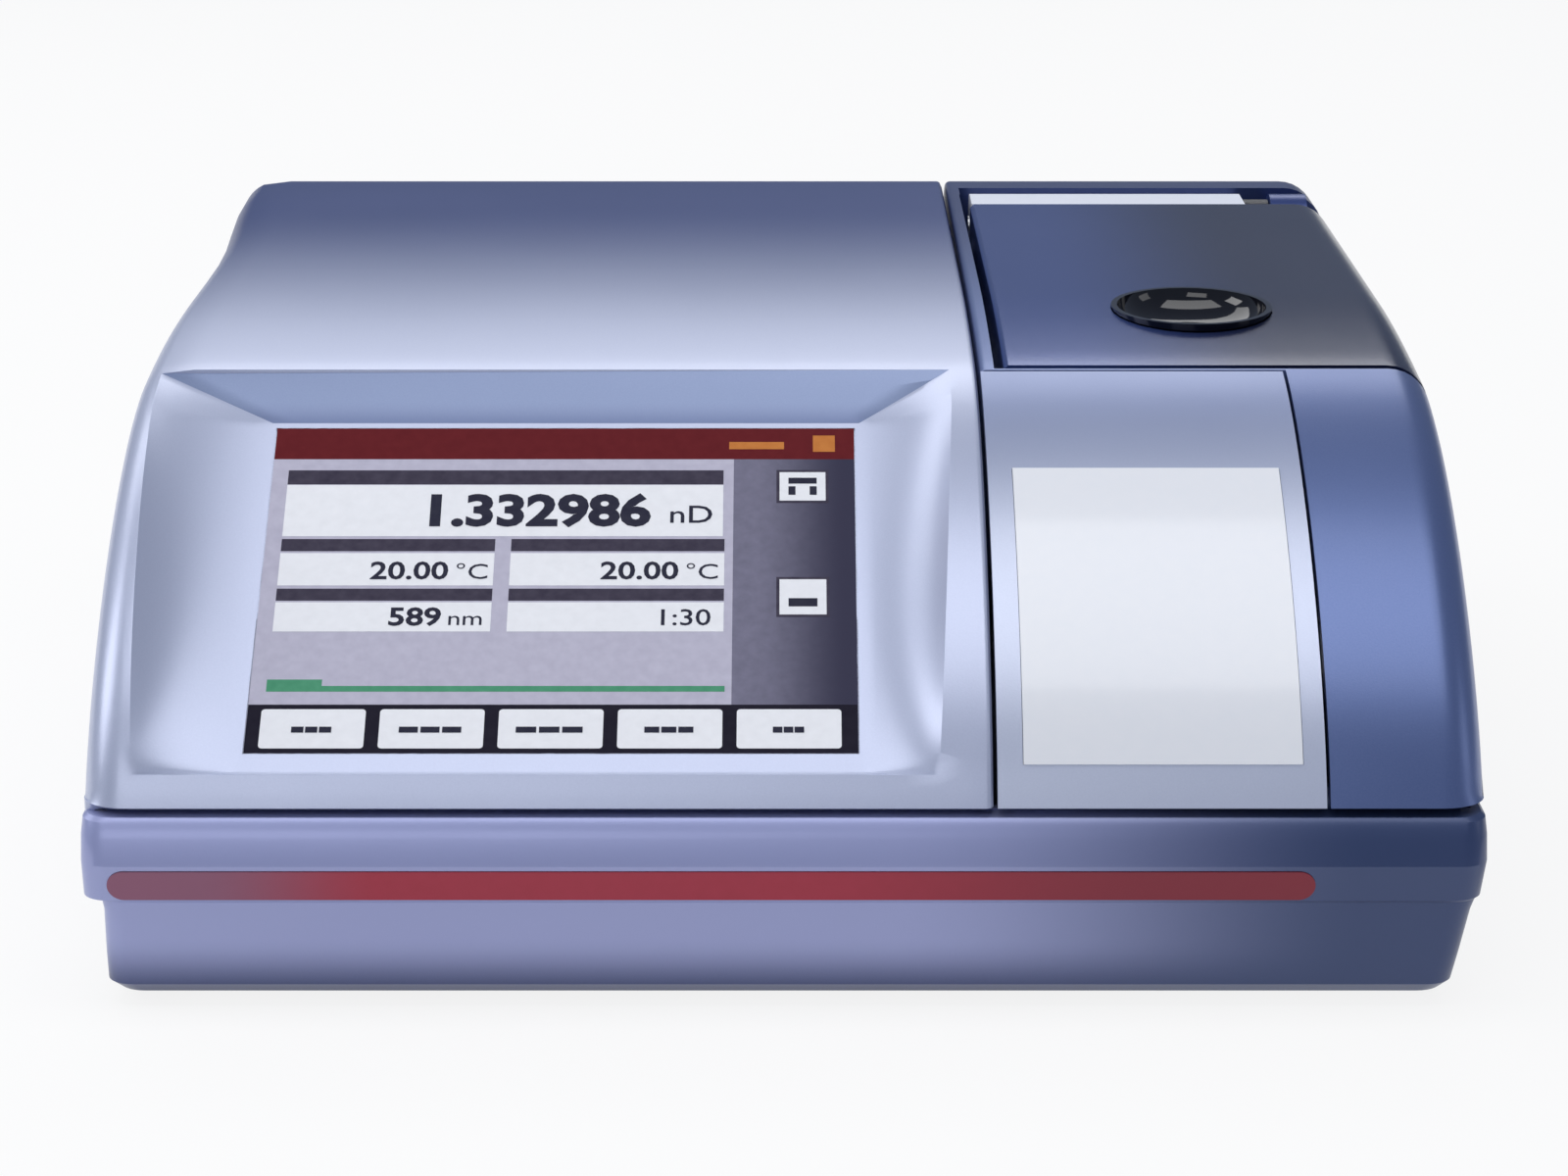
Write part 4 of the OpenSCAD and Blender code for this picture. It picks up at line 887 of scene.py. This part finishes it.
        # The recess's upper wall gets the darker copy of the paint: painted shade.
        obj.data.materials.append(paints.get("recess_wall_shade"))
        upper_wall = KDTree(len(self.wall_middles))
        for i, middle in enumerate(self.wall_middles):
            upper_wall.insert(middle, i)
        upper_wall.balance()
        for face in obj.data.polygons:
            face.use_smooth = True
            face.material_index = int(upper_wall.find(face.center)[2] < SAME_PLACE)
        wall = obj.modifiers.new("wall", "SOLIDIFY")
        wall.thickness = self.thick * MM
        wall.offset = -1.0
        edge = obj.modifiers.new("edge", "BEVEL")
        edge.width = self.soft_edge * MM
        edge.segments = self.soft_steps
        edge.limit_method = "ANGLE"
        edge.angle_limit = math.radians(self.soft_deg)
        edge.harden_normals = True
        obj.data.set_sharp_from_angle(angle=math.radians(self.sharp_deg))
        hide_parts("display_cover")


@dataclass
class Shells:
    """The painted housing, the lid and the trim, as smooth pieces over their solids."""

    crease_angle: float = 24.0
    skins: dict[str, tuple[str, str, str]] = field(
        default_factory=lambda: {
            "base_tray": ("base_blue", "housing", "housing_blue"),
            "sample_cover": ("housing_blue", "housing", "housing_blue"),
            "front_tongue": ("tongue_silver", "housing", "housing_silver"),
            "inlay_plate": ("white_plate", "housing", "white_plate"),
            "red_stripe": ("red_trim", "housing", "red_trim"),
            "lid_shell": ("lid_navy", "lid", "lid_navy"),
            "lid_barrel": ("barrel_silver_highlight", "lid", "housing_silver"),
            "lid_dish": ("black_gloss", "lid", "black_gloss"),
        }
    )

    def build(self, nodes: dict[str, bpy.types.Object], paints: Paintbox) -> None:
        """Builds one smooth piece for each shell.

        Args:
            nodes: The frame's nodes by name.
            paints: The materials.
        """
        for node, (finish, body, slot) in self.skins.items():
            mesh = smooth_copy(nodes[node], node + "_skin", self.crease_angle)
            obj = piece(node + "_skin", mesh, paints.get(finish), body)
            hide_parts(node)


# The screen.


class Align(Enum):
    """Which side of a word its place names."""

    LEFT = "LEFT"
    RIGHT = "RIGHT"
    CENTER = "CENTER"


@dataclass(frozen=True)
class Tile:
    """A rectangle on the screen, from (u0, v0) to (u1, v1), at a layer above the glass."""

    u0: float
    v0: float
    u1: float
    v1: float
    layer: int = 1


@dataclass(frozen=True)
class Reading:
    """A number on the screen: its place, its height and how bold it is."""

    body: str
    u: float
    v: float
    height: float
    bold: float = 0.0
    align: Align = Align.RIGHT


@dataclass
class ScreenFace:
    """What the touch screen shows: bars, boxes, readings and soft keys."""

    x: float = -50.0
    f: float = 16.0
    z: float = 54.0
    tilt: float = 34.0
    step: float = 0.025
    size_per_height: float = 1.38
    offset_per_bold: float = 0.35
    stretch: float = 1.1
    curve_steps: int = 3
    reading_layer: int = 5
    key_layer: int = 2
    mark_layer: int = 6
    mark_v: tuple[float, float] = (5.8, 7.4)
    mark_widths: tuple[float, ...] = (9.0, 14.0, 15.0, 11.0, 7.0)
    mark_parts: int = 3
    mark_fill: float = 3.4
    tiles: dict[str, list[Tile]] = field(
        default_factory=lambda: {
            "ground": [Tile(-66.0, 13.6, 38.6, 85.3)],
            "column": [Tile(38.6, 13.6, 66.0, 85.3)],
            "maroon": [Tile(-66.0, 85.3, 66.0, 94.8)],
            "black": [Tile(-66.0, 0.2, 66.0, 13.6)],
            "header": [
                Tile(-62.4, 77.6, 36.3, 81.9, 2),
                Tile(-62.4, 57.6, -14.6, 61.2, 2),
                Tile(-11.0, 57.6, 36.7, 61.2, 2),
                Tile(-62.4, 43.1, -14.6, 46.6, 2),
                Tile(-11.0, 43.1, 36.7, 46.6, 2),
                Tile(48.3, 72.0, 60.1, 82.0, 2),
                Tile(48.3, 38.4, 60.1, 50.0, 2),
            ],
            "white": [
                Tile(-62.4, 62.0, 36.3, 77.4, 3),
                Tile(-62.4, 47.5, -14.6, 57.0, 3),
                Tile(-11.0, 47.5, 36.7, 57.0, 3),
                Tile(-62.4, 34.2, -14.6, 42.6, 3),
                Tile(-11.0, 34.2, 36.7, 42.6, 3),
                Tile(49.0, 72.7, 59.4, 81.3, 3),
                Tile(49.0, 39.1, 59.4, 49.3, 3),
            ],
            "green": [Tile(-62.5, 17.2, 37.1, 18.8, 2), Tile(-62.5, 18.8, -50.5, 20.6, 2)],
            "amber": [Tile(37.5, 88.4, 50.0, 90.6, 2), Tile(56.6, 87.6, 61.6, 92.6, 2)],
            "ink": [
                Tile(51.0, 77.8, 57.4, 79.6, 4),
                Tile(51.0, 74.4, 52.6, 77.0, 4),
                Tile(55.8, 74.4, 57.4, 77.0, 4),
                Tile(51.0, 41.4, 57.4, 43.8, 4),
            ],
        }
    )
    readings: list[Reading] = field(
        default_factory=lambda: [
            Reading("1.332986", 20.0, 65.4, 9.2, 1.4),
            Reading("nD", 34.2, 66.0, 5.4, 0.1),
            Reading("20.00", -24.6, 49.4, 5.2, 0.4),
            Reading("°C", -15.6, 49.4, 4.6),
            Reading("20.00", 26.6, 49.4, 5.2, 0.4),
            Reading("°C", 35.6, 49.4, 4.6),
            Reading("589", -25.5, 36.0, 5.2, 0.5),
            Reading("nm", -16.2, 36.0, 4.2),
            Reading("1:30", 34.0, 36.0, 4.8, 0.1),
        ]
    )

    def to_world(self, u: float, v: float, out: float) -> Point:
        """A point over the glass.

        Args:
            u: Millimetres across from the glass's middle.
            v: Millimetres up from its lower edge.
            out: Millimetres above it.

        Returns:
            The point, in metres.
        """
        c, s = math.cos(math.radians(self.tilt)), math.sin(math.radians(self.tilt))
        return place(self.x + u, self.f + v * c - out * s, self.z + v * s + out * c)

    def build(self, paints: Paintbox) -> None:
        """Builds the screen's picture, one piece for each colour.

        Args:
            paints: The materials.
        """
        for name, tiles in self.tiles.items():
            points: list[Point] = []
            faces: Faces = []
            for tile in tiles:
                self._add_tile(points, faces, tile)
            mesh = mesh_from("screen_" + name, points, faces)
            piece("screen_" + name, mesh, paints.get(name), "housing")
        self._readings(paints)
        self._soft_keys(paints)
        self._marks(paints)

    def _add_tile(self, points: list[Point], faces: Faces, tile: Tile) -> None:
        """Adds a thin closed slab for one tile.

        Args:
            points: The piece's points so far.
            faces: The piece's faces so far.
            tile: The tile.
        """
        n = len(points)
        low, high = self.step * tile.layer - self.step, self.step * tile.layer
        for out in (low, high):
            for u, v in ((tile.u0, tile.v0), (tile.u1, tile.v0), (tile.u1, tile.v1), (tile.u0, tile.v1)):
                points.append(self.to_world(u, v, out))
        faces += [(n, n + 3, n + 2, n + 1), (n + 4, n + 5, n + 6, n + 7)]
        faces += [(n + i, n + (i + 1) % 4, n + 4 + (i + 1) % 4, n + 4 + i) for i in range(4)]

    def _readings(self, paints: Paintbox) -> None:
        """Sets the readings as thin raised figures, all in one piece."""
        points: list[Point] = []
        faces: Faces = []
        for reading in self.readings:
            curve = bpy.data.curves.new("reading", "FONT")
            curve.body = reading.body
            curve.align_x = reading.align.value
            curve.size = reading.height * self.size_per_height
            curve.offset = reading.bold * self.offset_per_bold
            curve.resolution_u = self.curve_steps
            obj = bpy.data.objects.new("reading", curve)
            bpy.context.scene.collection.objects.link(obj)
            mesh = applied(obj)
            n = len(points)
            out = self.step * self.reading_layer
            for p in mesh.vertices:
                points.append(self.to_world(reading.u + p.co.x * self.stretch, reading.v + p.co.y, out))
            faces += [tuple(n + i for i in p.vertices) for p in mesh.polygons]
            bpy.data.objects.remove(obj)
            bpy.data.curves.remove(curve)
        mesh = bpy.data.meshes.new("screen_readings")
        mesh.from_pydata(points, [], faces)
        work = bmesh.new()
        work.from_mesh(mesh)
        bmesh.ops.remove_doubles(work, verts=work.verts, dist=TEXT_MERGE)
        up = Vector((0.0, -math.sin(math.radians(self.tilt)), math.cos(math.radians(self.tilt))))
        for face in work.faces:
            if face.normal.dot(up) < 0:
                face.normal_flip()
        work.to_mesh(mesh)
        work.free()
        piece("screen_readings", mesh, paints.get("ink"), "housing")

    def _soft_keys(self, paints: Paintbox) -> None:
        """Makes the row of soft keys with a node tree that repeats one rounded key."""
        mesh = KeyRow().mesh(paints.get("white"))
        for vertex in mesh.vertices:
            vertex.co = Vector(self.to_world(*vertex.co.xy, self.step * self.key_layer + vertex.co.z))
        piece("screen_keys", mesh, paints.get("white"), "housing")

    def _marks(self, paints: Paintbox) -> None:
        """Short bars on the soft keys, where a real screen has small words."""
        points: list[Point] = []
        faces: Faces = []
        keys = KeyRow()
        for i, width in enumerate(self.mark_widths):
            start = keys.first + i * keys.pitch - width / 2
            for k in range(self.mark_parts):
                left = start + k * width / self.mark_parts
                right = left + width / self.mark_fill
                tile = Tile(left, self.mark_v[0], right, self.mark_v[1], self.mark_layer)
                self._add_tile(points, faces, tile)
        mesh = mesh_from("screen_marks", points, faces)
        piece("screen_marks", mesh, paints.get("ink"), "housing")


@dataclass
class KeyRow:
    """Row of equal soft keys along the screen's lower edge."""

    count: int = 5
    pitch: float = 25.7
    first: float = -51.7
    row_v: float = 6.9
    key_w: float = 22.6
    key_h: float = 10.8
    corner_r: float = 0.8
    corner_steps: int = 4

    def mesh(self, mat: bpy.types.Material) -> bpy.types.Mesh:
        """Builds the tree and evaluates it.

        Args:
            mat: The keys' material.

        Returns:
            The plain mesh, in the screen's own millimetres.
        """
        tree = bpy.data.node_groups.new("key_row", "GeometryNodeTree")
        sockets = {}
        for label, kind, value in (
            ("Count", "NodeSocketInt", self.count),
            ("Pitch", "NodeSocketFloat", self.pitch),
            ("Width", "NodeSocketFloat", self.key_w),
            ("Height", "NodeSocketFloat", self.key_h),
            ("Corner", "NodeSocketFloat", self.corner_r),
            ("Corner Steps", "NodeSocketInt", self.corner_steps),
        ):
            socket = tree.interface.new_socket(label, in_out="INPUT", socket_type=kind)
            sockets[socket.identifier] = value
        tree.interface.new_socket("Geometry", in_out="OUTPUT", socket_type="NodeSocketGeometry")
        nodes, link = tree.nodes, tree.links.new
        src, out = nodes.new("NodeGroupInput"), nodes.new("NodeGroupOutput")
        step = nodes.new("ShaderNodeCombineXYZ")
        link(src.outputs["Pitch"], step.inputs["X"])
        line = nodes.new("GeometryNodeMeshLine")
        link(src.outputs["Count"], line.inputs["Count"])
        link(step.outputs["Vector"], line.inputs["Offset"])
        line.inputs["Start Location"].default_value = (self.first, self.row_v, 0.0)
        quad = nodes.new("GeometryNodeCurvePrimitiveQuadrilateral")
        link(src.outputs["Width"], quad.inputs["Width"])
        link(src.outputs["Height"], quad.inputs["Height"])
        fillet = nodes.new("GeometryNodeFilletCurve")
        fillet.mode = "POLY"
        link(src.outputs["Corner"], fillet.inputs["Radius"])
        link(src.outputs["Corner Steps"], fillet.inputs["Count"])
        link(quad.outputs["Curve"], fillet.inputs["Curve"])
        fill = nodes.new("GeometryNodeFillCurve")
        link(fillet.outputs["Curve"], fill.inputs["Curve"])
        copies = nodes.new("GeometryNodeInstanceOnPoints")
        link(line.outputs["Mesh"], copies.inputs["Points"])
        link(fill.outputs["Mesh"], copies.inputs["Instance"])
        real = nodes.new("GeometryNodeRealizeInstances")
        link(copies.outputs["Instances"], real.inputs["Geometry"])
        paint = nodes.new("GeometryNodeSetMaterial")
        paint.inputs["Material"].default_value = mat
        link(real.outputs["Geometry"], paint.inputs["Geometry"])
        link(paint.outputs["Geometry"], out.inputs["Geometry"])
        obj = bpy.data.objects.new("key_row", bpy.data.meshes.new("key_row"))
        bpy.context.scene.collection.objects.link(obj)
        modifier = obj.modifiers.new("row", "NODES")
        modifier.node_group = tree
        for identifier, value in sockets.items():
            modifier[identifier] = value
        mesh = applied(obj)
        bpy.data.objects.remove(obj)
        return mesh


# Everything else.


NODE_SLOTS: dict[str, tuple[str, ...]] = {
    "aluminium": ("rear_panel", "power_supply", "heat_sink", "optic_block"),
    "screen_glass": ("touch_glass",),
    "lcd": ("lcd_panel",),
    "rubber": ("display_gasket", "prism_seal", "lid_seal", "deck_bumpers", "rubber_feet"),
    "board_green": ("main_board", "sensor_board", "led_source"),
    "black_plastic": (
        "board_chips", "inlet_socket", "fuse_drawer", "switch_frame", "fan_frame", "fan_rotor",
        "friction_hub", "lens_tube", "lid_liner",
    ),
    "brass": ("board_standoffs", "supply_parts"),
    "chrome": ("inlet_pins", "ethernet_socket", "usb_sockets", "serial_socket", "fan_guard"),
    "rocker_red": ("power_rocker",),
    "ceramic": ("peltier",),
    "sapphire": ("sapphire_prism", "lens"),
    "steel": (
        "sample_plate", "hinge_pin", "foot_screws", "case_screws", "panel_screws", "display_bracket",
    ),
    "housing_silver": ("fixed_knuckle",),
}


def slot_of(name: str) -> str:
    """The slot of a shown node."""
    for slot, names in NODE_SLOTS.items():
        if name in names:
            return slot
    return "black_plastic"


@dataclass
class FrameDress:
    """Finishes for the nodes that are shown as they are."""

    def build(self, nodes: dict[str, bpy.types.Object], paints: Paintbox) -> None:
        """Gives every node that is still shown the finish of its slot.

        Args:
            nodes: The frame's nodes by name.
            paints: The materials.
        """
        for name, node in nodes.items():
            if node.hide_render:
                continue
            slot = slot_of(name)
            node.data.materials.clear()
            node.data.materials.append(paints.get(slot))
            LOG.info("node %s: %s", name, slot)


@dataclass(frozen=True)
class Lamp:
    """A rectangular lamp: where it hangs, its size in metres and its power in watts."""

    name: str
    at: Point
    size: tuple[float, float]
    power: float


@dataclass
class Studio:
    """Floor, lamps, world and camera."""

    floor_reach: float = 8.0
    floor_glow: float = 0.86
    floor_grey: float = 0.9
    aim: Point = (0.0, 0.0, 0.05)
    lamps: tuple[Lamp, ...] = (
        Lamp("lamp_top", (0.0, -0.25, 1.5), (1.8, 0.9), 11.5),
        Lamp("lamp_front", (-0.6, -1.9, 1.4), (1.4, 0.8), 6.5),
        Lamp("lamp_rear", (-0.45, 1.5, 1.35), (2.8, 0.8), 15.0),
        Lamp("lamp_left", (-1.7, 0.1, 1.0), (0.8, 0.8), 7.0),
        Lamp("lamp_right", (1.8, -0.2, 0.7), (0.6, 0.6), 1.2),
    )
    room_color: Rgb = (0.62, 0.74, 1.0)
    room_strength: float = 0.24
    lens: float = 96.75
    sensor: float = 36.0
    camera_at: Point = (0.0, -1.0177, 0.3303)
    camera_down: float = 15.531

    def build(self) -> None:
        """Builds the studio."""
        self._floor()
        self._lamps()
        self._world()
        self._camera()

    def _floor(self) -> None:
        """A wide pale floor that keeps the object's soft shadow."""
        reach = self.floor_reach
        corners = [(-reach, -reach, 0.0), (reach, -reach, 0.0), (reach, reach, 0.0), (-reach, reach, 0.0)]
        mesh = mesh_from("studio_floor", corners, [(0, 1, 2, 3)])
        floor = bpy.data.objects.new("studio_floor", mesh)
        bpy.context.scene.collection.objects.link(floor)
        mat = bpy.data.materials.new("studio_floor")
        mat.use_nodes = True
        nodes, link = mat.node_tree.nodes, mat.node_tree.links.new
        out = nodes["Material Output"]
        shader = nodes["Principled BSDF"]
        grey = self.floor_grey
        shader.inputs["Base Color"].default_value = (grey, grey, grey, 1.0)
        shader.inputs["Roughness"].default_value = grey
        glow = nodes.new("ShaderNodeEmission")
        path = nodes.new("ShaderNodeLightPath")
        seen = path.outputs["Is Camera Ray"]
        for ray in ("Is Glossy Ray", "Is Transmission Ray"):
            most = nodes.new("ShaderNodeMath")
            most.operation = "MAXIMUM"
            link(seen, most.inputs[0])
            link(path.outputs[ray], most.inputs[1])
            seen = most.outputs["Value"]
        part = nodes.new("ShaderNodeMath")
        part.operation = "MULTIPLY"
        part.inputs[1].default_value = self.floor_glow
        link(seen, part.inputs[0])
        mix = nodes.new("ShaderNodeMixShader")
        link(part.outputs["Value"], mix.inputs["Fac"])
        link(shader.outputs["BSDF"], mix.inputs[1])
        link(glow.outputs["Emission"], mix.inputs[2])
        link(mix.outputs["Shader"], out.inputs["Surface"])
        mesh.materials.append(mat)

    def _lamps(self) -> None:
        """A broad lamp above, soft ones in front and behind, and a weak one at each side."""
        for lamp in self.lamps:
            data = bpy.data.lights.new(lamp.name, "AREA")
            data.shape = "RECTANGLE"
            data.size, data.size_y = lamp.size
            data.energy = lamp.power
            obj = bpy.data.objects.new(lamp.name, data)
            obj.location = lamp.at
            obj.rotation_euler = (Vector(self.aim) - Vector(lamp.at)).to_track_quat("-Z", "Y").to_euler()
            bpy.context.scene.collection.objects.link(obj)

    def _world(self) -> None:
        """A plain cool grey room."""
        world = bpy.data.worlds.new("studio_room")
        world.use_nodes = True
        back = world.node_tree.nodes["Background"]
        back.inputs["Color"].default_value = (*self.room_color, 1.0)
        back.inputs["Strength"].default_value = self.room_strength
        bpy.context.scene.world = world

    def _camera(self) -> None:
        """The photograph's camera: in front, looking down at the object."""
        data = bpy.data.cameras.new("photo_camera")
        data.lens = self.lens
        data.sensor_width = self.sensor
        camera = bpy.data.objects.new("photo_camera", data)
        camera.location = self.camera_at
        camera.rotation_euler = (math.radians(90 - self.camera_down), 0.0, 0.0)
        bpy.context.scene.collection.objects.link(camera)
        bpy.context.scene.camera = camera


def main() -> None:
    """Builds the dressed instrument and its studio."""
    logging.basicConfig(level=logging.INFO, format="%(message)s")
    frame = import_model()
    scene = bpy.context.scene
    scene.view_settings.view_transform = "Standard"
    paints = Paintbox()
    DisplayCover().build(paints)
    Shells().build(frame["nodes"], paints)
    ScreenFace().build(paints)
    FrameDress().build(frame["nodes"], paints)
    Studio().build()
    bpy.context.view_layer.update()


if __name__ == "__main__":
    main()
